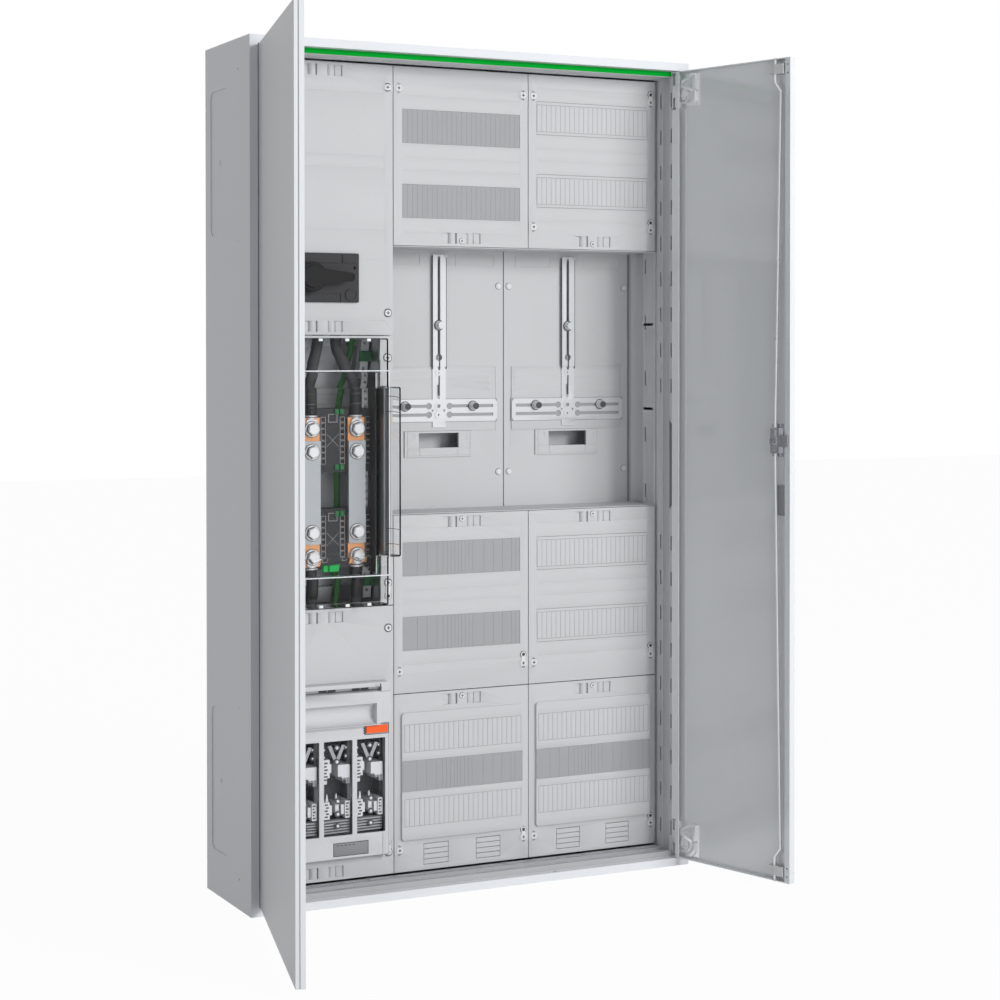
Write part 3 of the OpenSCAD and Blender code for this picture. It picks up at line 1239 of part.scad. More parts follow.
// frame round the terminal window
module terminal_bezel(i) difference() {
    soft_plate([field_mid(i) - 64, meter_d - 3, window_z[0] - 16],
        [field_mid(i) + 64, meter_d + 0.1, step_z - 1], 1);
    for (e = [-1, 1]) {
        slab([field_mid(i) + e * 59 - 0.5, meter_d - 4, window_z[0] - 18], [field_mid(i) + e * 59 + 0.5,
            meter_d - 2.3, step_z]);
        slab([field_mid(i) + e * 36 - 0.5, meter_d - 4, window_z[0] - 14], [field_mid(i) + e * 36 + 0.5,
            meter_d - 2.3, window_z[0]]);
        slab([field_mid(i) + e * 48 - 11, meter_d - 4, window_z[0] - 0.5], [field_mid(i) + e * 48 + 11,
            meter_d - 2.3, window_z[0] + 0.5]);
        peg(field_mid(i) + e * 50, window_z[1] - 6, 4.2, meter_d - 4, meter_d - 2.4);
    }
    slab([field_mid(i) - 59, meter_d - 4, window_z[0] - 13.5], [field_mid(i) + 59, meter_d - 2.3,
        window_z[0] - 12.5]);
}

module meter_plates() color(plastic) cabinet() for (i = [1, 2]) difference() {
    union() {
        slab([field_p(i) + 1, meter_d, bay_z[0] + 0.5], [field_p(i + 1) - (i == 2 ? 2.5 : 1), rail_d,
            bay_z[1] - 0.5]);
        slab([field_mid(i) - 110, meter_d - step_rise, step_z],
            [field_mid(i) + 113, meter_d + 0.1, step_z + step_h]);
        // outlines of the label fields, short ribs
        relief(i, 33, 107, bay_z[1] - 28, bay_z[1] - 8, 0.8);
        relief(i, -102, -34, bay_z[1] - 28, bay_z[1] - 8, 0.8);
        for (k = [0 : 3], e = [-1, 1]) slab([field_mid(i) + e * 99.5 - 5, meter_d - step_rise - 0.6,
            step_z + 69 + 10.7 * k], [field_mid(i) + e * 99.5 + 5, meter_d, step_z + 71.5 + 10.7 * k]);
        terminal_bezel(i);
    }
    slab([field_mid(i) - window_w / 2, meter_d - 5, window_z[0]],
        [field_mid(i) + window_w / 2, rail_d + cut, window_z[1]]);
    slab([field_mid(i) + 107.5, meter_d - step_rise - cut, step_z - cut], [field_mid(i) + 108.5,
        meter_d - step_rise + 0.8, step_z + step_h + cut]);
    for (p = [field_p(i) + 10, field_p(i + 1) - 10], z = [bay_z[0] + plate_screw_in, bay_z[1] - plate_screw_in])
        peg(p, z, 2.4, meter_d - cut, rail_d + cut);
}

cross_d = meter_d - step_rise - cross_t;
arm_joint = step_z + step_h;      // where the upper arm laps over the lower one

// keyhole slot of the cross along its beam
module beam_slot(i, e, z) {
    slab([field_mid(i) + min(e * 19, e * 103), cross_d - cut, z - 2.7],
        [field_mid(i) + max(e * 19, e * 103), cross_d + cross_t + cut, z + 2.7]);
    peg(field_mid(i) + e * 19.5, z, 5.5, cross_d - cut, cross_d + cross_t + cut);
}

module meter_cross(i) difference() {
    union() {
        slab([field_mid(i) - arm_w / 2, cross_d, beam_z[0] - 10], [field_mid(i) + arm_w / 2, cross_d + cross_t,
            arm_joint + 8]);
        slab([field_mid(i) - arm_w / 2, cross_d - 2, arm_joint], [field_mid(i) + arm_w / 2, cross_d + 0.5,
            beam_z[0] - 9 + cross_h]);
        slab([field_mid(i) - arm_w / 2, cross_d - 2, beam_z[0] - 12 + cross_h],
            [field_mid(i) + arm_w / 2, meter_d, beam_z[0] - 9 + cross_h]);
        slab([field_mid(i) + arm_w / 2 - 2, cross_d - 5, beam_z[0] - 14 + cross_h],
            [field_mid(i) + arm_w / 2, cross_d, beam_z[0] - 9 + cross_h]);
        slab([field_mid(i) - arm_w / 2, cross_d + cross_t - 0.5, beam_z[1] + 20],
            [field_mid(i) + arm_w / 2, meter_d - step_rise, beam_z[1] + 30]);
        along(cross_d, cross_d + cross_t) translate([field_mid(i), beam_z[0]]) polygon([[-beam_w / 2, 5],
            [-beam_w / 2 + 4, 0], [beam_w / 2 - 4, 0], [beam_w / 2, 5], [beam_w / 2, 33.6],
            [beam_w / 2 - 4, 38.6], [-beam_w / 2 + 4, 38.6], [-beam_w / 2, 33.6]]);
        for (e = [-1, 1]) peg(field_mid(i) - 1.5, (beam_z[0] + beam_z[1]) / 2 + e * 7.5, 7, cross_d - 1,
            cross_d + 0.5);
        peg(field_mid(i) - 2, arm_joint - 11, 5, cross_d - 1, cross_d + 0.5);
    }
    // long slot of the upper screw, ending in a keyhole
    slab([field_mid(i) - 3.6, cross_d - 3, beam_z[1] + 74], [field_mid(i) + 1.4, cross_d + 3,
        beam_z[0] - 12 + cross_h]);
    peg(field_mid(i) - 1.1, beam_z[1] + 72.5, 6, cross_d - 3, cross_d + 3);
    slab([field_mid(i) - 4, cross_d - cut, beam_z[1] + 1], [field_mid(i) + 1, cross_d + cross_t + cut,
        beam_z[1] + 25]);
    for (e = [-1, 1], f = [-1, 1]) beam_slot(i, e, (beam_z[0] + beam_z[1]) / 2 + f * 7.5);
    for (e = [-1, 1]) {
        peg(field_mid(i) - 1.5 + e * 11, (beam_z[0] + beam_z[1]) / 2, 2, cross_d - cut, cross_d + cross_t + cut);
        peg(field_mid(i) - 1.5, (beam_z[0] + beam_z[1]) / 2 + e * 7.5, e > 0 ? 3.4 : 1.6, cross_d - 2,
            cross_d + cross_t + cut);
    }
    peg(field_mid(i) - 2, arm_joint - 11, 2, cross_d - 2, cross_d - 0.2);
}

// knurled screw on a face: head, flange and shank
module meter_screw(p, z, face) {
    peg(p, z, 6, face - 13, face - 1);
    peg(p, z, 7.5, face - 1.5, face);
    peg(p, z, 2.4, face - 1, cross_d + cross_t);
    for (a = [0 : 30 : 330]) peg(p + 5.8 * cos(a), z + 5.8 * sin(a), 0.8, face - 12, face - 2);
}

module meter_crosses() color(zinc) cabinet() for (i = [1, 2]) {
    meter_cross(i);
    meter_screw(field_mid(i) - 1.1, bay_z[0] + 318.6, cross_d - 2);
    for (e = [-1, 1]) meter_screw(field_mid(i) + e * 64, (beam_z[0] + beam_z[1]) / 2 + 7.5, cross_d);
}

// fasteners of covers and plates ----------------------------------------------------------------

// quarter-turn lock: head with cross slot, shank down to what it locks into
module cover_lock(l, twin) {
    difference() {
        peg(l[0], l[1], 5.4, cover_d - 2, cover_d - 0.95);
        for (s = [[2.6, 0.8], [0.8, 2.6]]) slab([l[0] - s[0], cover_d - 3, l[1] - s[1]],
            [l[0] + s[0], cover_d - 1.4, l[1] + s[1]]);
        for (e = [-1, 1]) slab([l[0] - 2, cover_d - 3, l[1] + e * 4.6 - 0.6],
            [l[0] + 2, cover_d - 1.4, l[1] + e * 4.6 + 0.6]);
    }
    peg(l[0], l[1], lock_shank_r, cover_d - 1.2, post_d);
    if (twin != 0) {
        difference() {
            peg(l[0], l[1] + twin, 5, cover_d - 1.8, cover_d);
            peg(l[0], l[1] + twin, 3, cover_d - 3, cover_d - 1);
        }
        slab([l[0] - 3.6, cover_d - 1.5, min(l[1] + twin, l[1]) + 4.2], [l[0] + 3.6, cover_d - 0.95,
            max(l[1] + twin, l[1]) - 4.2]);
    }
}

all_locks = [
    [low_locks(0, 6), 0], [high_locks(0, 9), 0], [low_locks(0, 3), -22], [high_locks(0, 6), 0],
    [low_locks(0, 0), 14], [high_locks(0, 3), 0], [high_locks(1, 9), 0], [low_locks(1, 2), 15],
    [low_locks(1, 0), 13], [high_locks(2, 9), 14], [low_locks(2, 7), 13], [low_locks(2, 2), 15],
    [low_locks(2, 0), 13]];

module cover_screw(p, z) {
    difference() {
        peg(p, z, 4.3, cover_d - 1.5, cover_d - 0.02);
        for (s = [[2.6, 0.6], [0.6, 2.6]])
            slab([p - s[0], cover_d - 2, z - s[1]], [p + s[0], cover_d - 0.8, z + s[1]]);
    }
    peg(p, z, 2, cover_d - 1, cover_d + 6);
}

module plate_screw(p, z) {
    peg(p, z, 5.2, meter_d - 1.6, meter_d);
    peg(p, z, 3.8, meter_d - 2.8, meter_d - 1);
    peg(p, z, 2, meter_d - 1, rail_d);
}

module cover_fasteners() color("#e3e5e6") cabinet() {
    for (g = all_locks) {
        cover_lock(g[0][0], 0);
        cover_lock(g[0][1], g[1]);
    }
    for (i = [1, 2], p = [field_p(i) + 10, field_p(i + 1) - 10],
        z = [bay_z[0] + plate_screw_in, bay_z[1] - plate_screw_in]) plate_screw(p, z);
    for (i = [1, 2], z = [unit_at(2) - screw_end, unit_at(4) - screw_end, unit_at(7) + screw_end])
        cover_screw(field_mid(i), z);
}

// ---- nodes ------------------------------------------------------------------------------------

left_side();
right_side();
top_panel();
bottom_panel();
back_panel();
side_covers();
entry_plates();
left_profile();
right_profile();
top_profile();
bottom_profile();
top_seal();
field_rails();
cover_posts();
cross_members();
bay_shelves();
left_door();
left_stiffeners();
left_hinge_leaves();
right_door();
right_stiffeners();
right_hinge_leaves();
hinge_brackets();
hinge_pins();
lock_case();
lock_cam();
upper_rod();
lower_rod();
rod_guides();
lock_recess_cover();
switch_cover();
switch_bezel();
switch_body();
switch_knob();
switch_shaft();
link_cover();
clear_hood();
link_blocks();
perforated_strips();
copper_pads();
link_bars();
cable_lugs();
hex_bolts();
phase_cables();
earth_cable();
earth_terminals();
fuse_cover();
fuse_base();
fuse_frame();
fuse_lid();
lid_panes();
fuse_contacts();
latch_tab();
middle_covers();
right_covers();
blanking_strips();
din_rails();
meter_plates();
meter_crosses();
cover_fasteners();
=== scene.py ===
"""Three-field meter cabinet with open doors: finishes, fittings, stage and camera."""

import json
import math

import bmesh
import bpy
import numpy as np
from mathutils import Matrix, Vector

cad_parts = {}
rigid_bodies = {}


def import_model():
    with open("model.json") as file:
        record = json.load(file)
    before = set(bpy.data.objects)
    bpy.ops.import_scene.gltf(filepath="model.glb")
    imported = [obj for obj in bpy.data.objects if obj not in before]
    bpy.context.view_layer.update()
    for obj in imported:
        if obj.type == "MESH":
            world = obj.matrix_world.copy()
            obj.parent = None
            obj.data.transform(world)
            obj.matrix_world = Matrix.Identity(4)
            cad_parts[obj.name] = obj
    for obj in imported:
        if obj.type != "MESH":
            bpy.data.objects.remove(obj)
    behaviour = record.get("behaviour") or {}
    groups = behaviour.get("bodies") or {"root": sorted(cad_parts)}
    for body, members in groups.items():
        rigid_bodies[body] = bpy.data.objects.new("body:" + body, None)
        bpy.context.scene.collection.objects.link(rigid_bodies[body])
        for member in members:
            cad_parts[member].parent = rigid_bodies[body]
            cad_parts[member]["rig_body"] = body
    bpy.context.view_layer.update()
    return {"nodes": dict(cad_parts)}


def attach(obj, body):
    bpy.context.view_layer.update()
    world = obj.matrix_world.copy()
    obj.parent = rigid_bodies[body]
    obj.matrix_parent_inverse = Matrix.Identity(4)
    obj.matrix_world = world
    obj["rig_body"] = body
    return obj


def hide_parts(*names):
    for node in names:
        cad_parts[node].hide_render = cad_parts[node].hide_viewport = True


bl_info = {
    "name": "Meter Cabinet",
    "version": (1, 0, 0),
    "blender": (4, 5, 0),
    "location": "View3D > Sidebar > Cabinet",
    "description": "Finishes and fittings of a three-field meter cabinet around its packed frame",
    "category": "Add Mesh",
}

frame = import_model()


# ---- sizes --------------------------------------------------------------------------------------
# In mm. A place in the cabinet is (p, d, z): from the left outer side, behind the front, above the
# floor.

MM = 0.001
HALF_W, HALF_D = 400.0, 112.5
EDGE, FIELD_W = 25.0, 250.0  # border of the cabinet, and a field
METER_MIDS = (400.0, 650.0)  # middles of the two meter fields

# hinges and leaves
PIN_IN, PIN_P = 5.0, 21.0  # the pin from a leaf's edge and face, and from the cabinet's side
FACING = 0.95  # least product of a skin's normal with the line out of the leaf
OPEN = {"left": 103.3, "right": 104.5}  # degrees that the leaves stand open

# link bars
PHASES = (70.0, 150.0, 230.0)
BOLT_ROWS = (769.0, 731.0, 596.0, 556.0)
HEAD_TURN = math.radians(18)  # of the bolts' six-sided heads
BAR_D, BLOCK_D = 125.0, 135.0  # fronts of the bars and of the blocks that carry them
BLOCK_MIDS = (749.5, 584.0)
POCKETS, POCKET_STEP, POCKET_OUT, POCKET_HALF = 8, 10, 23, 4.3  # beside each bar, on a block

# cables
OUTLETS = (133.0, 165.0, 197.0)  # the phases at the main switch
POLES = (110.0, 168.0, 226.0)  # the phases at the fuse switch
CABLE_R, CABLE_D = 9.5, 132.5
EARTH_R, EARTH_D = 5.5, 183
PALM_TOP, PALM_FOOT = 804.0, 532.0  # where the cables end
NECK_TOP, NECK_FOOT = 785.0, 541.0  # where the lugs leave their bolts
EARTH_POINTS = ((215, 1305), (215, 1280), (232, 1080), (244, 920), (233, 867), (219, 808),
                (216, 740), (216, 640), (212.5, 523), (212, 440), (212, 415))

# fuse switch
POLE_SCREWS = ((0.0, 247.0), (0.0, 224.0), (1.5, 159.0), (1.5, 137.5), (1.5, 118.0))
SCREW_REACH = 4.2  # faces with their middle this near to a screw's line are the screw's
V_PLATE_Z, V_PLATE_HALF = (218, 229), 10.5  # foot of a V plate's middle and of its arms
# The grooves are thin dark blocks on the carriers' faces: painted shade.
GROOVE = (61.3, 62.6)  # front and back of the dark grooves in the carriers
FOOT_SCREW_D = 66.0

# covers, with their fronts at COVER_D
COVER_D = 75.0
ROW_W, ROW_H, MODULES = 216.0, 46.0, 12  # rows of module openings
STRIP_ROWS, PANEL_ROWS = (1175, 1300, 425, 550), (125, 250)  # middles of the rows
STRIP_HALF = 28.3  # of the frame round a strip row
LINE_W, LINE_D = 0.7, COVER_D + 0.2  # the lines between the openings
PANEL_RISE = 5.0

# meter bay, with the plates' fronts at PLATE_D
PLATE_D = 175.0
BEAM_W, BEAM_Z = 221.0, (775.8, 816.4)  # crossbar of a meter cross
CROSS_SCREW_OUT, CROSS_SCREW_Z = 64, 803.6
PLATE_SCREW_IN = 62  # from the end of a meter plate

# locks, and those with a second head: field, height, and how far above the lock it sits
LOCK_IN = 10.0  # from a field's side
TWINS = ((0, 512.5, -22.0), (0, 62.5, 14.0), (1, 362.5, 15.0), (1, 62.5, 13.0),
         (2, 1337.5, 14.0), (2, 1112.5, 13.0), (2, 362.5, 15.0), (2, 62.5, 13.0))


# ---- places -------------------------------------------------------------------------------------


def place(points):
    """Cabinet places (p, d, z) in mm to row-frame metres: (p - 400, d - 112.5, z) / 1000."""
    return (np.asarray(points, float) - (HALF_W, HALF_D, 0.0)) * MM


def leaf_matrix(side, angle):
    """Leaf places (s, d, z) to cabinet places: turned by angle about the pin, which is at (5, 5) in
    the leaf and at (21, 5) in the cabinet, and mirrored for the right leaf."""
    c, s = math.cos(math.radians(angle)), math.sin(math.radians(angle))
    turn = np.array([
        [c, s, 0, PIN_P - PIN_IN * (c + s)],
        [-s, c, 0, PIN_IN * (1 + s - c)],
        [0, 0, 1, 0],
        [0, 0, 0, 1],
    ])
    if side == "right":
        mirror = np.diag((-1.0, 1.0, 1.0, 1.0))
        mirror[0, 3] = 2 * HALF_W
        turn = mirror @ turn
    return turn


def on_leaf(side, points):
    """Leaf places (s, d, z) in mm to row-frame metres."""
    m = leaf_matrix(side, OPEN[side])
    return place(np.asarray(points, float) @ m[:3, :3].T + m[:3, 3])


# ---- surfaces -----------------------------------------------------------------------------------


def lattice(rows, columns, wrap_rows=False, wrap_columns=False):
    """Quads between neighbours of a rows x columns lattice, as tuples of point numbers.
    Wrapping joins the last row or column to the first."""
    r = np.arange(rows if wrap_rows else rows - 1)
    c = np.arange(columns if wrap_columns else columns - 1)
    r, c = np.meshgrid(r, c, indexing="ij")
    r2, c2 = (r + 1) % rows, (c + 1) % columns
    corners = [r * columns + c, r * columns + c2, r2 * columns + c2, r2 * columns + c]
    return [tuple(quad) for quad in np.stack(corners, -1).reshape(-1, 4).tolist()]


def loft(sections):
    """Closed skin through closed sections (n, k, 3) of equal length: a lattice between them, and
    one face across the first and one across the last, so a turned or swept form has closed ends."""
    sections = np.asarray(sections, float)
    n, k = sections.shape[:2]
    faces = lattice(n, k, wrap_columns=True)
    faces.append(tuple(range(k - 1, -1, -1)))
    faces.append(tuple(range((n - 1) * k, n * k)))
    return sections.reshape(-1, 3), faces


def raised(outline, levels):
    """Skin of a flat form: the outline (k, 2) in (p, z), inset and set at each (inset, depth)
    level. The inset scales the outline about its middle: its widest points move in by as much."""
    outline = np.asarray(outline, float)
    mid = (outline.max(0) + outline.min(0)) / 2
    half = (outline.max(0) - outline.min(0)) / 2
    rings = []
    for inset, depth in levels:
        pz = mid + (outline - mid) * (1 - inset / half)
        rings.append(np.stack([pz[:, 0], np.full(len(pz), depth), pz[:, 1]], -1))
    return loft(rings)


def block(low, high, chamfer=0.3):
    """Box between two places (p, d, z) whose front edges are cut back by the chamfer."""
    outline = [(low[0], low[2]), (high[0], low[2]), (high[0], high[2]), (low[0], high[2])]
    return raised(outline, [(0, high[1]), (0, low[1] + chamfer), (chamfer, low[1])])


def band(low, high, width, front, back):
    """Frame between the places low and high (p, z): a four-sided section carried round four
    corners. The section runs from the outer edge at the back over the front to the inner edge,
    which lies width mm further in."""
    outer = np.array([low, (high[0], low[1]), high, (low[0], high[1])], float)
    inner = outer + width * np.array([(1, 1), (-1, 1), (-1, -1), (1, -1)])
    rows = [(outer, back), (outer, front), (inner, front), (inner, back)]
    verts = [np.stack([o[:, 0], np.full(4, d), o[:, 1]], -1) for o, d in rows]
    return np.concatenate(verts), lattice(4, 4, wrap_rows=True, wrap_columns=True)


def turned(profile, sides, start=0.0):
    """Surface of revolution: each (radius, height) of the profile carried round the third axis in
    sides steps from the start angle. Its ends are closed, so a flat profile gives a disc."""
    profile = np.asarray(profile, float)
    a = start + np.arange(sides) * 2 * math.pi / sides
    r, h = profile[:, :1], profile[:, 1:]
    return loft(np.stack([r * np.cos(a), r * np.sin(a), np.repeat(h, sides, 1)], -1))


def turned_out(profile, sides, p, z, d, start=0.0):
    """Turned form with its foot at (p, d, z) and its height along -d, out of the cabinet."""
    v, faces = turned(profile, sides, start)
    return np.stack([p + v[:, 0], d - v[:, 2], z + v[:, 1]], -1), faces


def disc(inner, outer, height, sides, p, z, d, start=0.0):
    """Round plate with its foot at (p, d, z): a flat rim between two radii, closed inside."""
    profile = [(inner, 0), (outer, 0), (outer, height), (inner, height)]
    return turned_out(profile, sides, p, z, d, start)


def seat(radius, p, z, d):
    """Low disc of 0.6 mm behind a screw's or lock's head, its rim cut back by 0.3 mm."""
    return turned_out([(radius, 0), (radius, 0.4), (radius - 0.3, 0.6)], 28, p, z, d)


def upright(profile, sides, p, d, z):
    """Turned form whose height runs up from (p, d, z)."""
    v, faces = turned(profile, sides)
    return v + (p, d, z), faces


def arc(p, z, low, high, angles):
    """Outline in (p, z) of a piece of ring: along the low radius, and back along the high one."""
    sides = [(low, angles), (high, angles[::-1])]
    return np.concatenate([np.stack([p + r * np.cos(a), z + r * np.sin(a)], -1) for r, a in sides])


def smooth_path(points, per_span):
    """Catmull-Rom curve through the points, per_span samples a span:
    0.5 (2b + (c - a) t + (2a - 5b + 4c - d) t2 + (3b - a - 3c + d) t3)."""
    p = np.asarray(points, float)
    p = np.concatenate([p[:1] * 2 - p[1:2], p, p[-1:] * 2 - p[-2:-1]])
    t = np.linspace(0, 1, per_span, endpoint=False)[:, None]
    spans = []
    for a, b, c, d in zip(p[:-3], p[1:-2], p[2:-1], p[3:]):
        bent = (2 * a - 5 * b + 4 * c - d) * t**2 + (3 * b - a - 3 * c + d) * t**3
        spans.append(0.5 * (2 * b + (c - a) * t + bent))
    return np.concatenate(spans + [p[-2:-1]])


def swept(path, radius, sides=24):
    """Tube round a path: at each point a circle of the radius, square to the path. The circle's
    first direction is the path's crossed with the depth axis, so the tube doesn't twist."""
    path = np.asarray(path, float)
    ahead = np.gradient(path, axis=0)
    ahead /= np.linalg.norm(ahead, axis=1)[:, None]
    first = np.cross(ahead, (0.0, 1.0, 0.0))
    first /= np.linalg.norm(first, axis=1)[:, None]
    second = np.cross(ahead, first)
    a = (np.arange(sides) * 2 * math.pi / sides)[None, :, None]
    circles = radius * (first[:, None] * np.cos(a) + second[:, None] * np.sin(a))
    return loft(path[:, None] + circles)


# ---- pieces -------------------------------------------------------------------------------------

# Faces with many cut-outs, split again after merging so that rounding keeps them flat.
SPLIT_AGAIN = {
    "left_hinge_leaves", "right_hinge_leaves", "middle_covers", "right_covers", "switch_cover",
    "fuse_cover", "link_blocks", "left_profile", "right_profile", "top_profile", "bottom_profile",
    "fuse_base", "fuse_lid", "left_stiffeners",
}
MERGE_WITHIN = 2e-6  # metres
FLAT_WITHIN = 0.4  # degrees
BEVEL_OVER = 40  # degrees


def piece(name, shapes, key, body="cabinet", replaces=(), smooth=35.0):
    """One object of several (verts, faces), its normals turned outwards, riding on its body."""
    verts, faces, base = [], [], 0
    for v, f in shapes:
        verts.append(v)
        faces += [tuple(base + i for i in face) for face in f]
        base += len(v)
    mesh = bpy.data.meshes.new(name)
    mesh.from_pydata(place(np.concatenate(verts)).tolist(), [], faces)
    bm = bmesh.new()
    bm.from_mesh(mesh)
    bmesh.ops.recalc_face_normals(bm, faces=bm.faces)
    bm.to_mesh(mesh)
    bm.free()
    return settle(name, mesh, key, body, replaces, smooth=smooth)


def settle(name, mesh, key, body, replaces, rounded=0.0, smooth=35.0):
    """Object of a mesh: its finish, smooth where faces meet under an angle in degrees, its edges
    rounded to a width in mm, its body, and the frame nodes that it stands for."""
    mesh.materials.clear()
    mesh.materials.append(FINISH[key])
    obj = bpy.data.objects.new(name, mesh)
    bpy.context.scene.collection.objects.link(obj)
    mesh.polygons.foreach_set("use_smooth", np.ones(len(mesh.polygons), bool))
    mesh.set_sharp_from_angle(angle=math.radians(smooth))
    if rounded:
        round_edges(obj, rounded)
    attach(obj, body)
    if replaces:
        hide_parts(*replaces)
    return obj


def round_edges(obj, width_mm):
    """Rounds every edge sharper than 40 degrees to width_mm."""
    m = obj.modifiers.new("rounded edges", "BEVEL")
    m.width = width_mm * MM
    m.segments = 2
    m.limit_method = "ANGLE"
    m.angle_limit = math.radians(BEVEL_OVER)
    m.miter_outer = "MITER_ARC"
    m.harden_normals = True


def merged_copy(node):
    """Copy of a frame node's mesh with its loose triangles merged into flat faces."""
    mesh = frame["nodes"][node].data.copy()
    bm = bmesh.new()
    bm.from_mesh(mesh)
    bmesh.ops.remove_doubles(bm, verts=bm.verts, dist=MERGE_WITHIN)
    limit = math.radians(FLAT_WITHIN)
    bmesh.ops.dissolve_limit(bm, angle_limit=limit, verts=bm.verts, edges=bm.edges)
    if node in SPLIT_AGAIN:
        bmesh.ops.triangulate(bm, faces=[f for f in bm.faces if len(f.verts) > 4])
    bm.to_mesh(mesh)
    bm.free()
    return mesh


def soften(key, radius_mm, *nodes):
    """Pieces in place of frame nodes: each the node's own shape, its edges rounded, in a finish."""
    copies = []
    for node in nodes:
        body = frame["nodes"][node]["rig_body"]
        name = node + "_finished"
        copies.append(settle(name, merged_copy(node), key, body, (node,), rounded=radius_mm))
    return copies


# ---- finishes -----------------------------------------------------------------------------------

GROUPS = {}
FINISH = {}


def wire(tree, node, inputs):
    """Sets a node's inputs by name or number: a socket is linked in, anything else is the value."""
    for key, value in inputs.items():
        if isinstance(value, bpy.types.NodeSocket):
            tree.links.new(value, node.inputs[key])
        else:
            node.inputs[key].default_value = value
    return node


def add(tree, kind, inputs=None, operation=None):
    """New shader node with its operation and inputs."""
    node = tree.nodes.new("ShaderNode" + kind)
    if operation:
        node.operation = operation
    return wire(tree, node, inputs or {})


def add_group(tree, key, inputs):
    """One of the shared groups, placed in a tree with its own values."""
    node = tree.nodes.new("ShaderNodeGroup")
    node.node_tree = GROUPS[key]
    return wire(tree, node, inputs)


def new_group(name, inputs, outputs):
    """Empty shader group with its named sockets. A number makes a float input, three numbers a
    vector and four a colour; an output is a float unless its name is Colour."""
    kinds = {1: "NodeSocketFloat", 3: "NodeSocketVector", 4: "NodeSocketColor"}
    tree = bpy.data.node_groups.new(name, "ShaderNodeTree")
    for label, value in inputs.items():
        kind = kinds[np.size(value)]
        socket = tree.interface.new_socket(name=label, in_out="INPUT", socket_type=kind)
        socket.default_value = value
    for label in outputs:
        kind = kinds[4 if label == "Colour" else 1]
        tree.interface.new_socket(name=label, in_out="OUTPUT", socket_type=kind)
    given = tree.nodes.new("NodeGroupInput").outputs
    return tree, given, tree.nodes.new("NodeGroupOutput")


def surface_grain_group():
    """Fine grain and slow cloudiness: two noises of the object's own coordinates.
    Height is the fine one, Cloud the slow one, and Roughness is Base plus Spread (Cloud - 0.5)."""
    tree, given, out = new_group(
        "Surface grain",
        {"Grain Scale": 900.0, "Cloud Scale": 4.0, "Stretch": (1, 1, 1), "Base": 0.45,
         "Spread": 0.12},
        ("Height", "Cloud", "Roughness"),
    )
    coord = add(tree, "TexCoord").outputs["Object"]
    stretched = add(tree, "VectorMath", {0: coord, 1: given["Stretch"]}, "MULTIPLY").outputs[0]
    fine = add(tree, "TexNoise", {
        "Vector": stretched, "Scale": given["Grain Scale"], "Detail": 3.0})
    slow = add(tree, "TexNoise", {"Vector": coord, "Scale": given["Cloud Scale"], "Detail": 4.0})
    shift = add(tree, "Math", {0: slow.outputs["Fac"], 1: 0.5}, "SUBTRACT")
    rough = add(tree, "Math", {
        0: shift.outputs[0], 1: given["Spread"], 2: given["Base"]}, "MULTIPLY_ADD")
    wire(tree, out, {"Height": fine.outputs["Fac"], "Cloud": slow.outputs["Fac"],
                     "Roughness": rough.outputs[0]})
    return tree


def handled_colour_group():
    """Colour that varies as on a handled surface: Colour darkened by Depth where the cloud is low,
    and by Specks where a small noise of high contrast passes its threshold."""
    tree, given, out = new_group(
        "Handled colour",
        {"Colour": (0.8, 0.8, 0.8, 1), "Cloud": 0.5, "Depth": 0.06, "Speck Scale": 260.0,
         "Specks": 0.05},
        ("Colour",),
    )
    coord = add(tree, "TexCoord").outputs["Object"]
    speck = add(tree, "TexNoise", {"Vector": coord, "Scale": given["Speck Scale"], "Detail": 1.0})
    edge = add(tree, "MapRange", {
        "Value": speck.outputs["Fac"], "From Min": 0.62, "From Max": 0.74,
        "To Max": given["Specks"]})
    cloud = add(tree, "MapRange", {
        "Value": given["Cloud"], "From Min": 0.35, "From Max": 0.65, "To Min": given["Depth"],
        "To Max": 0.0})
    total = add(tree, "Math", {0: edge.outputs["Result"], 1: cloud.outputs["Result"]}, "ADD")
    keep = add(tree, "Math", {0: 1.0, 1: total.outputs[0]}, "SUBTRACT")
    shade = add(tree, "VectorMath", {0: given["Colour"], "Scale": keep.outputs[0]}, "SCALE")
    wire(tree, out, {"Colour": shade.outputs[0]})
    return tree


def new_material(name):
    """Material with nodes, its tree and its Principled shader."""
    material = bpy.data.materials.new(name)
    material.use_nodes = True
    return material, material.node_tree, material.node_tree.nodes["Principled BSDF"]


def finish(name, colour, rough, grain, bump, bump_mm, depth, specks, spread=0.1, metallic=0.0,
           stretch=(1, 1, 1), speck_scale=260.0, coat=0.0, coat_rough=0.1, specular=0.5):
    """Principled material: handled colour in linear RGB, grained roughness and a fine bump."""
    material, tree, shader = new_material(name)
    grained = add_group(tree, "grain", {
        "Grain Scale": grain, "Stretch": stretch, "Base": rough, "Spread": spread})
    handled = add_group(tree, "handled", {
        "Colour": (*colour, 1.0), "Cloud": grained.outputs["Cloud"], "Depth": depth,
        "Specks": specks, "Speck Scale": speck_scale})
    relief = add(tree, "Bump", {
        "Height": grained.outputs["Height"], "Strength": bump, "Distance": bump_mm * MM})
    wire(tree, shader, {
        "Base Color": handled.outputs["Colour"], "Roughness": grained.outputs["Roughness"],
        "Normal": relief.outputs["Normal"], "Metallic": metallic, "Specular IOR Level": specular,
        "Coat Weight": coat, "Coat Roughness": coat_rough})
    return material


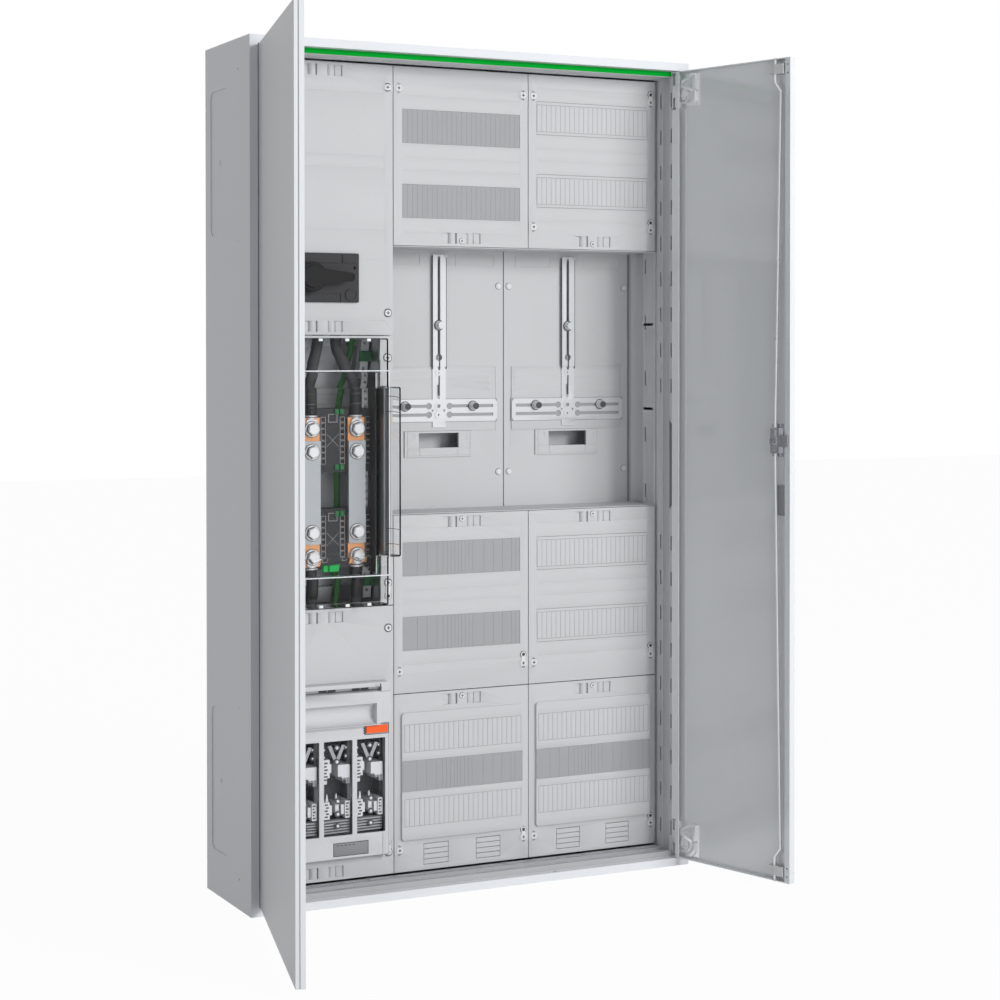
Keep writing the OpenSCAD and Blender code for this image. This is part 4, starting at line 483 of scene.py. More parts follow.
def see_through(name, colour, rough, passes, ior):
    """Clear plastic: a refracting shader that lets the share passes of a shadow ray through."""
    material, tree, shader = new_material(name)
    wire(tree, shader, {
        "Base Color": (*colour, 1.0), "Roughness": rough, "IOR": ior, "Transmission Weight": 1.0})
    clear = add(tree, "BsdfTransparent", {"Color": (*[passes * c for c in colour], 1.0)})
    shadow = add(tree, "LightPath").outputs["Is Shadow Ray"]
    mix = add(tree, "MixShader", {"Fac": shadow, 1: shader.outputs[0], 2: clear.outputs[0]})
    wire(tree, tree.nodes["Material Output"], {"Surface": mix.outputs[0]})
    return material


def colour_property(label, words, value):
    """Colour that a user would change, in linear RGB."""
    return bpy.props.FloatVectorProperty(
        name=label, description=words, subtype="COLOR", size=3, min=0.0, max=1.0, default=value)


def length_property(label, words, value):
    """Length that a user would change, in m."""
    return bpy.props.FloatProperty(
        name=label, description=words, subtype="DISTANCE", unit="LENGTH", default=value)


class CabinetColours(bpy.types.PropertyGroup):
    """Colours that a user would change."""

    paint: colour_property("Paint", "Powder coat of body and doors", (0.79, 0.81, 0.84))
    covers: colour_property("Covers", "Moulded covers and plates", (0.605, 0.612, 0.622))
    strips: colour_property("Strips", "Blanking strips and marking strips", (0.385, 0.39, 0.40))
    dark: colour_property("Dark plastic", "Supports and switch body", (0.050, 0.050, 0.054))
    knob: colour_property("Knob", "Knob of the main switch", (0.025, 0.025, 0.026))
    zinc: colour_property("Zinc", "Plated steel parts", (0.46, 0.48, 0.50))
    copper: colour_property("Copper", "Contact pads", (0.88, 0.42, 0.20))
    seal: colour_property("Seal", "Strip along the top of the door stop", (0.0, 0.36, 0.03))
    earth: colour_property("Earth cable", "Jacket of the earth cable", (0.05, 0.26, 0.06))
    tab: colour_property("Latch tab", "Tab that frees the switch lid", (1.0, 0.13, 0.02))


class CabinetSizes(bpy.types.PropertyGroup):
    """Sizes that a user would change."""

    sheet_round: length_property("Sheet bends", "Radius on the bent edges of the sheet", 0.0007)
    moulded_round: length_property("Moulded edges", "Radius on edges of moulded parts", 0.0008)
    floor_half: length_property("Floor", "Half width of the floor", 12.0)


class CABINET_OT_finishes(bpy.types.Operator):
    """Every material, made once."""

    bl_idname = "cabinet.finishes"
    bl_label = "Finishes"

    def execute(self, context):
        c = context.scene.cabinet_colours
        GROUPS["grain"] = surface_grain_group()
        GROUPS["handled"] = handled_colour_group()
        # key, name, colour, roughness, grain scale, bump and its mm, cloud depth, specks, and more
        for key, name, colour, *values in (
            ("paint", "powder coat", c.paint, 0.40, 700, 0.10, 0.06, 0.03, 0.015),
            ("inner_paint", "smooth coat", (0.76, 0.78, 0.80), 0.26, 900, 0.004, 0.03, 0.02, 0.01,
             {"spread": 0.01, "coat": 1.0, "coat_rough": 0.04}),
            ("profile", "profile coat", (0.62, 0.63, 0.645), 0.34, 600, 0.05, 0.05, 0.04, 0.02),
            ("guide", "guide plastic", (0.72, 0.73, 0.73), 0.42, 900, 0.06, 0.05, 0.04, 0.02),
            ("bezel", "bezel plastic", (0.062, 0.062, 0.066), 0.42, 1200, 0.12, 0.05, 0.1, 0.05,
             {"specular": 0.15}),
            ("fuse_grey", "housing grey", (0.65, 0.655, 0.67), 0.45, 1200, 0.12, 0.05, 0.04, 0.02),
            ("carrier", "carrier plastic", (0.70, 0.70, 0.71), 0.45, 900, 0.08, 0.05, 0.06, 0.04),
            ("bar", "tinned bar", (0.52, 0.545, 0.575), 0.42, 160, 0.05, 0.04, 0.05, 0.04,
             {"metallic": 0.6, "stretch": (6, 6, 0.4), "speck_scale": 120}),
            ("shrink", "heat-shrink", (0.030, 0.030, 0.032), 0.36, 500, 0.12, 0.06, 0.1, 0.05,
             {"stretch": (1, 1, 0.3), "specular": 0.3}),
            # Dark colour for slots, grooves, seats, key slots, ribs and rings round heads, where it
            # is painted shade, and for the dashes on the lid's plate, which stand for its print.
            ("shade_and_print", "painted shade and print", (0.10, 0.10, 0.11), 0.6, 900, 0.08, 0.04, 0.08, 0.04,
             {"specular": 0.2}),
            ("label", "label", (0.27, 0.27, 0.28), 0.5, 900, 0.05, 0.03, 0.04, 0.02),
            ("cross", "passivated steel", (0.80, 0.815, 0.83), 0.36, 160, 0.06, 0.05, 0.08, 0.05,
             {"metallic": 0.45, "stretch": (1, 1, 8), "speck_scale": 120}),
            ("fastener", "fastener plastic", (0.78, 0.785, 0.79), 0.40, 1200, 0.06, 0.04, 0.05,
             0.03),
            ("covers", "moulded cover", c.covers, 0.52, 1500, 0.12, 0.05, 0.03, 0.02),
            ("strips", "marking strip", c.strips, 0.55, 1500, 0.12, 0.05, 0.04, 0.03),
            ("dark", "glass-filled plastic", c.dark, 0.5, 1200, 0.2, 0.06, 0.12, 0.1,
             {"specular": 0.2}),
            ("knob", "knob plastic", c.knob, 0.4, 1200, 0.12, 0.04, 0.1, 0.06, {"specular": 0.15}),
            ("zinc", "zinc plate", c.zinc, 0.34, 120, 0.06, 0.05, 0.10, 0.08,
             {"metallic": 1.0, "stretch": (6, 6, 0.6), "speck_scale": 90}),
            ("bright", "bright zinc", (0.60, 0.61, 0.64), 0.24, 300, 0.05, 0.05, 0.08, 0.05,
             {"metallic": 1.0}),
            ("silver", "silvered contact", (0.66, 0.66, 0.66), 0.30, 300, 0.05, 0.05, 0.08, 0.05,
             {"metallic": 1.0}),
            ("copper", "bare copper", c.copper, 0.36, 260, 0.08, 0.05, 0.14, 0.08,
             {"metallic": 0.5, "stretch": (4, 4, 1)}),
            ("seal", "seal", c.seal, 0.6, 800, 0.2, 0.08, 0.1, 0.05, {"specular": 0.1}),
            ("jacket", "cable jacket", (0.060, 0.060, 0.064), 0.48, 400, 0.15, 0.06, 0.1, 0.05,
             {"stretch": (1, 1, 0.1), "specular": 0.25}),
            ("earth", "earth jacket", c.earth, 0.5, 400, 0.15, 0.06, 0.1, 0.05,
             {"stretch": (1, 1, 0.1)}),
            # Darker copy of the terminal green: painted shade on the terminals beside the blocks.
            ("terminal", "terminal green in painted shade", (0.02, 0.16, 0.05), 0.5, 900, 0.12, 0.05, 0.1, 0.05),
            ("tab", "tab", c.tab, 0.4, 900, 0.08, 0.05, 0.05, 0.02),
            ("bolt", "bright bolt", (0.86, 0.86, 0.88), 0.28, 300, 0.05, 0.05, 0.08, 0.05,
             {"metallic": 0.55}),
            # Pale colour that stands for the bright edges of the clear hood: painted highlight.
            ("painted_highlight", "painted edge highlight", (0.86, 0.90, 0.92), 0.2, 400, 0.03, 0.03, 0.03, 0.01),
            ("outline", "moulded rib", (0.34, 0.34, 0.35), 0.5, 900, 0.08, 0.04, 0.1, 0.05,
             {"specular": 0.2}),
            ("bright_green", "terminal bright green", (0.02, 0.42, 0.09), 0.45, 900, 0.08, 0.04,
             0.1, 0.05, {"specular": 0.2}),
            # Darker copy of the paint for the doors' skins: painted shade.
            ("outside", "outside coat", (0.62, 0.63, 0.655), 0.40, 700, 0.10, 0.06, 0.03, 0.015),
            ("socket", "socket plastic", (0.15, 0.15, 0.155), 0.5, 900, 0.1, 0.05, 0.1, 0.06,
             {"specular": 0.3}),
            # Darker copy of the profile coat: painted shade on the bottom profile.
            ("shade", "profile coat in painted shade", (0.46, 0.465, 0.48), 0.4, 600, 0.05, 0.05, 0.05, 0.03),
            ("strip_zinc", "pale zinc", (0.80, 0.81, 0.83), 0.4, 200, 0.06, 0.05, 0.08, 0.06,
             {"metallic": 0.35, "stretch": (4, 4, 0.6)}),
        ):
            more = values.pop() if isinstance(values[-1], dict) else {}
            FINISH[key] = finish(name, tuple(colour), *values, **more)
        FINISH["clear"] = see_through("clear moulding", (0.985, 0.99, 0.99), 0.01, 0.96, 1.18)
        FINISH["smoked"] = see_through("smoked pane", (0.95, 0.96, 0.97), 0.02, 0.96, 1.10)
        return {"FINISHED"}


# ---- camera and stage ---------------------------------------------------------------------------

CAMERA_AT = (-1.5565, -3.4928, 0.8995)
CAMERA_YAW, CAMERA_PITCH = 27.79, -0.75
FOCAL_IN_FRAMES = 2.23324
SHIFT = (-0.10, -0.12)
SENSOR = 36.0
CLIP_END = 100.0
AROUND, AROUND_STRENGTH = (0.97, 0.98, 1.0, 1.0), 0.32
AIM = (0.0, -0.1, 0.75)
# name, place, side in m, watts
LAMPS = (("key", (1.6, -4.4, 2.2), 1.4, 108.0), ("fill", (0.7, -5.0, 0.6), 3.0, 74.0))
FLOOR_Z = -0.0005
FLOOR_COLOUR, FLOOR_ROUGH = (0.85, 0.85, 0.85, 1.0), 0.9
SHOWN_SHARE = 0.96  # of the floor's plain white, for the rays that see it


def seen_directly(tree):
    """1 for rays that come from the camera, from gloss or through glass: largest of the three."""
    path = add(tree, "LightPath").outputs
    first = add(tree, "Math", {0: path["Is Camera Ray"], 1: path["Is Transmission Ray"]}, "MAXIMUM")
    both = {0: first.outputs[0], 1: path["Is Glossy Ray"]}
    return add(tree, "Math", both, "MAXIMUM").outputs[0]


class CABINET_OT_stage(bpy.types.Operator):
    """Camera, pale floor and soft studio light."""

    bl_idname = "cabinet.stage"
    bl_label = "Camera and Stage"

    def execute(self, context):
        scene = context.scene
        data = bpy.data.cameras.new("camera")
        data.sensor_width = SENSOR
        data.lens = SENSOR * FOCAL_IN_FRAMES
        data.shift_x, data.shift_y = SHIFT
        data.clip_end = CLIP_END
        camera = bpy.data.objects.new("camera", data)
        camera.location = CAMERA_AT
        turn = math.radians(90 + CAMERA_PITCH), 0.0, math.radians(-CAMERA_YAW)
        camera.rotation_euler = turn
        scene.collection.objects.link(camera)
        scene.camera = camera
        scene.view_settings.view_transform = "Standard"
        self.surround(scene)
        for lamp in LAMPS:
            self.lamp(scene, *lamp)
        self.floor(scene, scene.cabinet_sizes.floor_half)
        return {"FINISHED"}

    @staticmethod
    def surround(scene):
        """Even light from all round, and plain white where a ray sees it directly."""
        world = bpy.data.worlds.new("studio")
        world.use_nodes = True
        tree = world.node_tree
        around = tree.nodes["Background"]
        wire(tree, around, {"Color": AROUND, "Strength": AROUND_STRENGTH})
        shown = add(tree, "Background", {"Color": (1.0, 1.0, 1.0, 1.0)})
        mix = add(tree, "MixShader", {
            "Fac": seen_directly(tree), 1: around.outputs[0], 2: shown.outputs[0]})
        wire(tree, tree.nodes["World Output"], {"Surface": mix.outputs[0]})
        scene.world = world

    @staticmethod
    def lamp(scene, name, at, size, power):
        """Square lamp aimed at the cabinet, which shows neither in gloss nor through glass."""
        data = bpy.data.lights.new(name, "AREA")
        data.shape = "SQUARE"
        data.size = size
        data.energy = power
        lamp = bpy.data.objects.new(name, data)
        lamp.visible_glossy = False
        lamp.visible_transmission = False
        lamp.location = at
        lamp.rotation_euler = (Vector(AIM) - Vector(at)).to_track_quat("-Z", "Y").to_euler()
        scene.collection.objects.link(lamp)

    @staticmethod
    def floor(scene, half):
        """Flat square that takes shadows, and shows nearly white where a ray sees it directly."""
        mesh = bpy.data.meshes.new("floor")
        corners = [(x * half, y * half, FLOOR_Z) for x, y in ((-1, -1), (1, -1), (1, 1), (-1, 1))]
        mesh.from_pydata(corners, [], [(0, 1, 2, 3)])
        material, tree, ground = new_material("pale floor")
        wire(tree, ground, {"Base Color": FLOOR_COLOUR, "Roughness": FLOOR_ROUGH})
        shown = add(tree, "Emission")
        share = add(tree, "Math", {0: seen_directly(tree), 1: SHOWN_SHARE}, "MULTIPLY")
        mix = add(tree, "MixShader", {
            "Fac": share.outputs[0], 1: ground.outputs[0], 2: shown.outputs[0]})
        wire(tree, tree.nodes["Material Output"], {"Surface": mix.outputs[0]})
        mesh.materials.append(material)
        obj = bpy.data.objects.new("floor", mesh)
        scene.collection.objects.link(obj)


# ---- steps --------------------------------------------------------------------------------------


class CABINET_OT_enclosure(bpy.types.Operator):
    """Sheets of the enclosure, knock-out covers and cable entry plates."""

    bl_idname = "cabinet.enclosure"
    bl_label = "Enclosure"

    def execute(self, context):
        bend = context.scene.cabinet_sizes.sheet_round / MM
        soften("paint", bend, "left_side", "right_side", "top_panel", "bottom_panel", "back_panel")
        soften("paint", 0.4, "side_covers")
        soften("zinc", 0.3, "entry_plates")
        return {"FINISHED"}


class CABINET_OT_inner_frame(bpy.types.Operator):
    """Roll-formed profiles, seal, field rails, posts, cross members and shelves."""

    bl_idname = "cabinet.inner_frame"
    bl_label = "Inner Frame"

    def execute(self, context):
        soften("profile", 0.4, "left_profile", "right_profile", "top_profile")
        # The bottom profile takes a darker copy of the profile coat: painted shade.
        soften("shade", 0.4, "bottom_profile")
        soften("seal", 0.3, "top_seal")
        soften("zinc", 0.4, "field_rails", "cover_posts", "cross_members", "din_rails")
        soften("covers", 0.4, "bay_shelves")
        return {"FINISHED"}


class CABINET_OT_doors(bpy.types.Operator):
    """Both leaves with their stiffeners."""

    bl_idname = "cabinet.doors"
    bl_label = "Doors"

    def execute(self, context):
        bend = context.scene.cabinet_sizes.sheet_round / MM
        left = soften("paint", bend, "left_door", "left_stiffeners")[0]
        right = soften("inner_paint", bend, "right_door")[0]
        soften("inner_paint", 0.3, "right_stiffeners")
        # The left leaf's two skins and the right leaf's outer skin take a darker copy of the paint:
        # painted shade.
        self.paint_skin_shade("left", left.data, both=True)
        self.paint_skin_shade("right", right.data, both=False)
        return {"FINISHED"}

    @staticmethod
    def paint_skin_shade(side, mesh, both):
        """Painted shade on the leaf's outer skin, or on both skins: a darker copy of the paint on
        the faces whose normal's product with the outward line is over FACING, in either direction
        if both."""
        foot, tip = on_leaf(side, [(100.0, 0.0, 700.0), (100.0, -1.0, 700.0)])
        outward = (tip - foot) / np.linalg.norm(tip - foot)
        mesh.materials.append(FINISH["outside"])
        along = np.array([tuple(face.normal) for face in mesh.polygons]) @ outward
        shaded_faces = (np.abs(along) if both else along) > FACING
        mesh.polygons.foreach_set("material_index", shaded_faces.astype(np.int32))


class CABINET_OT_hinges(bpy.types.Operator):
    """Hinge leaves, brackets and pins."""

    bl_idname = "cabinet.hinges"
    bl_label = "Hinges"

    def execute(self, context):
        soften("bolt", 0.5, "left_hinge_leaves", "right_hinge_leaves", "hinge_brackets")
        soften("bright", 0.3, "hinge_pins")
        return {"FINISHED"}


class CABINET_OT_rod_lock(bpy.types.Operator):
    """Lock case, key socket with its tongue, rods, guides and recess cover."""

    bl_idname = "cabinet.rod_lock"
    bl_label = "Rod Lock"

    def execute(self, context):
        soften("bright", 0.6, "lock_case", "lock_cam")
        soften("bolt", 0.3, "upper_rod", "lower_rod")
        soften("guide", 0.8, "rod_guides")
        soften("strips", 0.8, "lock_recess_cover")
        return {"FINISHED"}


class CABINET_OT_main_switch(bpy.types.Operator):
    """Bezel, knob, shaft and body of the main switch."""

    bl_idname = "cabinet.main_switch"
    bl_label = "Main Switch"

    def execute(self, context):
        moulded = context.scene.cabinet_sizes.moulded_round / MM
        soften("bezel", moulded, "switch_bezel")
        soften("dark", 1.0, "switch_body")
        soften("knob", 1.6, "switch_knob")
        soften("zinc", 0.5, "switch_shaft")
        return {"FINISHED"}


class CABINET_OT_link_bars(bpy.types.Operator):
    """Blocks, pads, bars and bolts under the clear hood, terminals beside them, and the hood."""

    bl_idname = "cabinet.link_bars"
    bl_label = "Link Bars"

    def execute(self, context):
        soften("dark", 0.5, "link_blocks")
        soften("strip_zinc", 0.3, "perforated_strips")
        soften("copper", 0.6, "copper_pads")
        soften("bar", 0.6, "link_bars")
        bolts, lines = [], []
        for c in PHASES:
            for z in BOLT_ROWS:
                bolts += self.bolt(c, z)
                # Dark rings round each washer and each head: painted shadow.
                lines += [disc(13.0, 13.9, 0.6, 40, c, z, BAR_D - 0.1),
                          disc(10.7, 11.6, 0.6, 6, c, z, BAR_D - 3.4, HEAD_TURN)]
        piece("hexagon_bolts", bolts, "bolt", replaces=("hex_bolts",), smooth=28)
        piece("bolt_shadow_rings", lines, "shade_and_print")
        self.ladders()
        self.green_terminals()
        soften("clear", 1.2, "clear_hood")
        self.hood_edges()
        return {"FINISHED"}

    @staticmethod
    def bolt(p, z):
        """Bolt seen from its head: flat washer with a rounded rim, spring washer, six-sided head
        and stud. The head's corners lie 10.6 mm out, and 9.1 mm out at its front."""
        washer = [(5.2, 0.0), (12.2, 0.0), (13.0, 0.5), (13.0, 1.6), (12.4, 2.1), (5.2, 2.1)]
        spring = [(5.2, 2.1), (9.2, 2.1), (9.4, 2.5), (9.4, 3.8), (9.0, 4.1), (5.2, 4.1)]
        head = [(10.6, 4.1), (10.6, 8.6), (9.1, 10.0)]
        stud = [(5.0, -9.0), (5.0, 4.2), (4.0, 4.3)]
        return [turned_out(profile, sides, p, z, BAR_D, start) for profile, sides, start in (
            (washer, 40, 0.0), (spring, 32, 0.0), (head, 6, HEAD_TURN), (stud, 24, 0.0))]

    @staticmethod
    def ladders():
        """Raised frames round the pockets at both sides of each bar, and between the bars a moulded
        cross with a small frame above it."""
        front, back = BLOCK_D - 0.8, BLOCK_D + 0.5
        frames = []
        for middle in BLOCK_MIDS:
            for c in PHASES:
                for k in range(POCKETS):
                    z = middle + (k - POCKETS // 2) * POCKET_STEP
                    for p in (c - POCKET_OUT, c + POCKET_OUT):
                        low, high = (p - POCKET_HALF, z + 0.2), (p + POCKET_HALF, z + 9.4)
                        frames.append(band(low, high, 0.8, front, back))
            for a, b in zip(PHASES, PHASES[1:]):
                p = (a + b) / 2
                for rise in (-11, 11):
                    foot = (p - 11, BLOCK_D - 0.1, middle + rise)
                    tip = (p + 11, BLOCK_D - 0.1, middle - rise)
                    frames.append(swept(np.linspace(foot, tip, 4), 0.4, 8))
                frames.append(band((p - 8, middle + 30), (p + 8, middle + 44), 1.0, front, back))
        piece("ladder_frames", frames, "outline")

    @staticmethod
    def green_terminals():
        """Earth terminals: two on the right strip, with five clamps each, small ones on the blocks,
        and a bright pair under the lower block."""
        strips = ((881, 16), (501, 18))
        # The terminals on the strip and on the blocks take the darker green as painted shade; the
        # pair under the lower block keeps the bright green.
        dark = [block((243, 136, z), (270.5, 143.4, z + high), 0.8) for z, high in strips]
        for k in range(5):
            p = 246 + 5 * k
            dark += [band((p, z + 3), (p + 4, z + 12), 0.8, 135.2, 136.4) for z, _ in strips]
        for p in (193, 202):
            dark += [block((p, 131, z), (p + 7, 135.4, z + 9), 0.5) for z in (793, 700, 622)]
        bright = [block((171, 129, 528.5), (180, 135.4, 539), 0.6),
                  block((181.5, 128, 528.5), (199, 135.4, 539), 0.6)]
        piece("strip_terminals", dark, "terminal")
        piece("block_terminals", bright, "bright_green")

    @staticmethod
    def hood_edges():
        """Beads along the step of the hood in a pale painted highlight, which stands for the bright
        edges of the clear plastic; small hooks along its top and bottom in the same painted
        highlight; and dark ribs that follow the curve of its right ear."""
        d = 34.6
        step = [(50.0, d, 530.0), (251.0, d, 530.0), (251.0, d, 866.5), (50.0, d, 866.5)]
        beads = [swept(np.linspace(a, b, 6), 1.0, 8) for a, b in zip(step, step[1:] + step[:1])]
        for p in (66, 92, 130, 176, 214):
            beads += [block((p, 39.4, z), (p + 7, 41.4, z + 4.5), 0.5) for z in (915, 480.5)]
        piece("hood_highlight_beads", beads, "painted_highlight")
        ribs = []
        for z in (825, 800, 607, 582):
            path = smooth_path([(244, 30.8, z), (257, 30.8, z - 0.5), (269, 30.8, z - 3)], 5)
            ribs.append(swept(path, 0.5, 8))
        piece("ear_ribs", ribs, "shade_and_print")


class CABINET_OT_cables(bpy.types.Operator):
    """Phase cables with their lugs and sleeves, and the earth cable with its terminals."""

    bl_idname = "cabinet.cables"
    bl_label = "Cables"

    def execute(self, context):
        jackets, sleeves, lugs, collars = [], [], [], []
        for c, s, b in zip(PHASES, OUTLETS, POLES):
            upper = [(c, CABLE_D, PALM_TOP + 22), (c, CABLE_D, PALM_TOP + 36),
                     ((c + s) / 2, CABLE_D + 3, PALM_TOP + 72),
                     (s, CABLE_D + 6, PALM_TOP + 110), (s, CABLE_D + 6, 993)]
            lower = [(b, CABLE_D + 4, 347), (b, CABLE_D + 4, 372), ((b + c) / 2, CABLE_D + 2, 432),
                     (c, CABLE_D, PALM_FOOT - 46), (c, CABLE_D, PALM_FOOT - 22)]
            jackets += [swept(smooth_path(route, 10), CABLE_R) for route in (upper, lower)]
            sleeves += [self.sleeve(c, NECK_TOP + 3, PALM_TOP + 48),
                        self.sleeve(c, PALM_FOOT - 48, NECK_FOOT - 3)]
            lugs += self.lug(c, BOLT_ROWS[0], NECK_TOP, 1)
            lugs += self.lug(c, BOLT_ROWS[-1], NECK_FOOT, -1)
            collars += [self.collar(c, NECK_TOP + 4), self.collar(c, NECK_FOOT - 7)]
        piece("phase_cable_jackets", jackets, "jacket", replaces=("phase_cables",))
        piece("cable_sleeves", sleeves, "shrink")
        piece("tinned_lugs", lugs, "bolt", replaces=("cable_lugs",))
        piece("lug_collars", collars, "bolt")
        earth = smooth_path([(p, EARTH_D, z) for p, z in EARTH_POINTS], 8)
        piece("earth_cable_jacket", [swept(earth, EARTH_R)], "earth", replaces=("earth_cable",))
        # The earth terminals take the darker green: painted shade.
        soften("terminal", 0.8, "earth_terminals")
        return {"FINISHED"}

    @staticmethod
    def sleeve(p, z0, z1):
        """Heat-shrink sleeve round the foot of a cable: a profile that necks at both ends, turned
        round the cable's line."""
        r, h = CABLE_R, z1 - z0
        profile = [(r - 0.8, 0), (r + 0.2, 0.6), (r + 0.9, 2.4), (r + 0.9, h * 0.45),
                   (r + 0.6, h - 6), (r + 0.35, h - 1), (r - 0.3, h)]
        return upright(profile, 28, p, CABLE_D, z0)

    @staticmethod
    def lug(p, z, foot, way):
        """Tinned lug: a palm with a round end about its bolt, and the barrel that grips the cable,
        upwards if way is 1 and downwards if it is -1. The palm's outline is a half circle of 14 mm,
        drawn in to straight sides 8.5 mm either side of the middle at its foot; the barrel is
        turned."""
        a = np.linspace(0, math.pi, 15) + (math.pi if way > 0 else 0.0)
        outline = [(p + 14 * math.cos(x), z + 14 * math.sin(x)) for x in a]
        outline += [(p + way * 8.5, foot), (p - way * 8.5, foot)]
        barrel = [(6.0, -3.0), (7.6, -1.5), (8.5, 0), (8.5, 17), (8.9, 18), (8.9, 21), (8.5, 22),
                  (8.5, 26)]
        return [raised(outline, [(0.0, BAR_D + 5.0), (0.0, BAR_D + 0.6), (0.5, BAR_D)]),
                upright([(r, way * h) for r, h in barrel], 24, p, CABLE_D, foot)]

    @staticmethod
    def collar(p, z):
        """Rolled rim of a lug's barrel: a bead of 3 mm turned round the cable's line."""
        a = np.linspace(-math.pi / 2, math.pi / 2, 7)
        bead = [(10.2 + 1.2 * math.cos(x), 1.5 + 1.5 * math.sin(x)) for x in a]
        return upright([(9.0, 0.0)] + bead + [(9.0, 3.0)], 28, p, CABLE_D, z)


class CABINET_OT_fuse_switch(bpy.types.Operator):
    """Housing, lid, panes and contacts of the fuse switch, and its latch tab."""

    bl_idname = "cabinet.fuse_switch"
    bl_label = "Fuse Switch"

    def execute(self, context):
        moulded = context.scene.cabinet_sizes.moulded_round / MM
        soften("socket", 0.6, "fuse_base")
        soften("fuse_grey", moulded, "fuse_frame", "fuse_lid")
        self.brighten(soften("carrier", 0.4, "fuse_contacts")[0].data)
        self.pole_details()
        self.lid_details()
        soften("smoked", 0.0, "lid_panes")
        soften("tab", moulded, "latch_tab")
        return {"FINISHED"}

    @staticmethod
    def brighten(mesh):
        """Other finishes for the screws, by the distance of a face's middle from a screw's line,
        and for the V plates above them."""
        mesh.materials.append(FINISH["silver"])
        mesh.materials.append(FINISH["strips"])
        middles = np.empty(len(mesh.polygons) * 3)
        mesh.polygons.foreach_get("center", middles)
        p, _, z = (middles.reshape(-1, 3) / MM + (HALF_W, HALF_D, 0.0)).T
        screws = [(c + dp, up) for c in POLES for dp, up in POLE_SCREWS[:-1]]
        near = np.min([np.hypot(p - at, z - up) for at, up in screws], axis=0) < SCREW_REACH
        aside = np.min([np.abs(p - c) for c in POLES], axis=0)
        plate = (z > V_PLATE_Z[1]) | ((z > V_PLATE_Z[0]) & (aside < V_PLATE_HALF))
        indices = np.where(near, 1, np.where(plate, 2, 0)).astype(np.int32)
        mesh.polygons.foreach_set("material_index", indices)

    @staticmethod
    def pole_details():
        """Screws with dark seats of painted shadow, grooves of the carriers drawn as thin dark
        blocks of painted shade, and slats at the foot of each pole.
        """
        screws, seats, grooves, slats = [], [], [], []
        a = np.linspace(0, math.pi / 2, 6)[:-1]
        dome = [(2.9 * math.cos(x), 1.0 + 1.6 * math.sin(x)) for x in a]
        dome = [(2.9, 0.0)] + dome + [(0.4, 2.62)]
        foot_screw = [(1.5, 0), (1.5, 2.2), (1.0, 2.6)]

        def groove(p0, z0, p1, z1):
            grooves.append(block((p0, GROOVE[0], z0), (p1, GROOVE[1], z1)))

        for c in POLES:
            for dp, z in POLE_SCREWS:
                screws.append(turned_out(dome, 16, c + dp, z, 61.2))
                seats.append(disc(3.2, 5.0, 1.3, 20, c + dp, z, 61.6))
            for k in range(6):
                groove(c - 21.5, 194 + 5.5 * k, c - 17.5 + 2 * (k % 2), 196.4 + 5.5 * k)
                groove(c + 8.5 + 2.5 * k, 187.5, c + 9.8 + 2.5 * k, 196.5)
            for k in range(5):
                z, wide = 133 + 5 * k, 2 * (k % 2)
                groove(c - 20.5 + wide, z, c - 15.5 + wide, z + 2.4)
                groove(c + 16.5, z, c + 21.0 - wide, z + 2.4)
            for k in range(5):
                z = 104.5 + 4.6 * k
                outline = [(c - 24, z), (c + 24, z + 1.0), (c + 24, z + 3.4), (c - 24, z + 2.6)]
                slats.append(raised(outline, [(0, 81.5), (0, 66.0), (0.3, 65.6)]))
            for p, z in ((c - 21, 232), (c + 17, 232), (c - 21, 244), (c + 17, 246)):
                seats.append(disc(1.6, 3.6, 1.6, 16, p, z, FOOT_SCREW_D))
                screws.append(turned_out(foot_screw, 12, p, z, FOOT_SCREW_D))
        piece("pole_screws", screws, "bolt")
        piece("pole_seat_shadows", seats, "shade_and_print")
        piece("pole_groove_shade", grooves, "shade_and_print")
        piece("pole_slats", slats, "strips")

    @staticmethod
    def lid_details():
        """Slots in the frame's top bar and beside the lid as thin dark blocks of painted shade, and
        on the lid the frames and dashes of its plate and latch, and the plate."""
        slots = []
        for c in POLES:
            for p in (c - 30.3, c - 14.7):
                slots.append(block((p, 62.4, 339.4), (p + 13.6, 64.6, 342.4)))
        slots.append(block((238.6, 45.4, 339), (240.6, 46.3, 350)))
        piece("frame_slot_shade", slots, "shade_and_print")
        border = [band((159.2, 68.8), (221, 91.2), 1.0, 54.0, 55.0)]
        border += [block((165 + 7 * k, 53.8, 86), (169 + 7 * k, 54.3, 87.4)) for k in range(5)]
        piece("plate_border", border, "shade_and_print", "fuse_switch_lid")
        latch = [band((214.4, 265.6), (257.2, 283.0), 0.9, 53.2, 54.4)]
        for k in range(3):
            z = 267.5 + 4 * k
            latch.append(block((212.6, 52.6, z), (215.4, 54.4, z + 2.4)))
        piece("latch_frame", latch, "shade_and_print", "fuse_switch_lid")
        outline = [(160, 69.6), (220.2, 69.6), (220.2, 90.4), (160, 90.4)]
        plate = raised(outline, [(0, 55.0), (0, 54.3), (0.3, 54.1)])
        piece("type_plate", [plate], "label", "fuse_switch_lid")


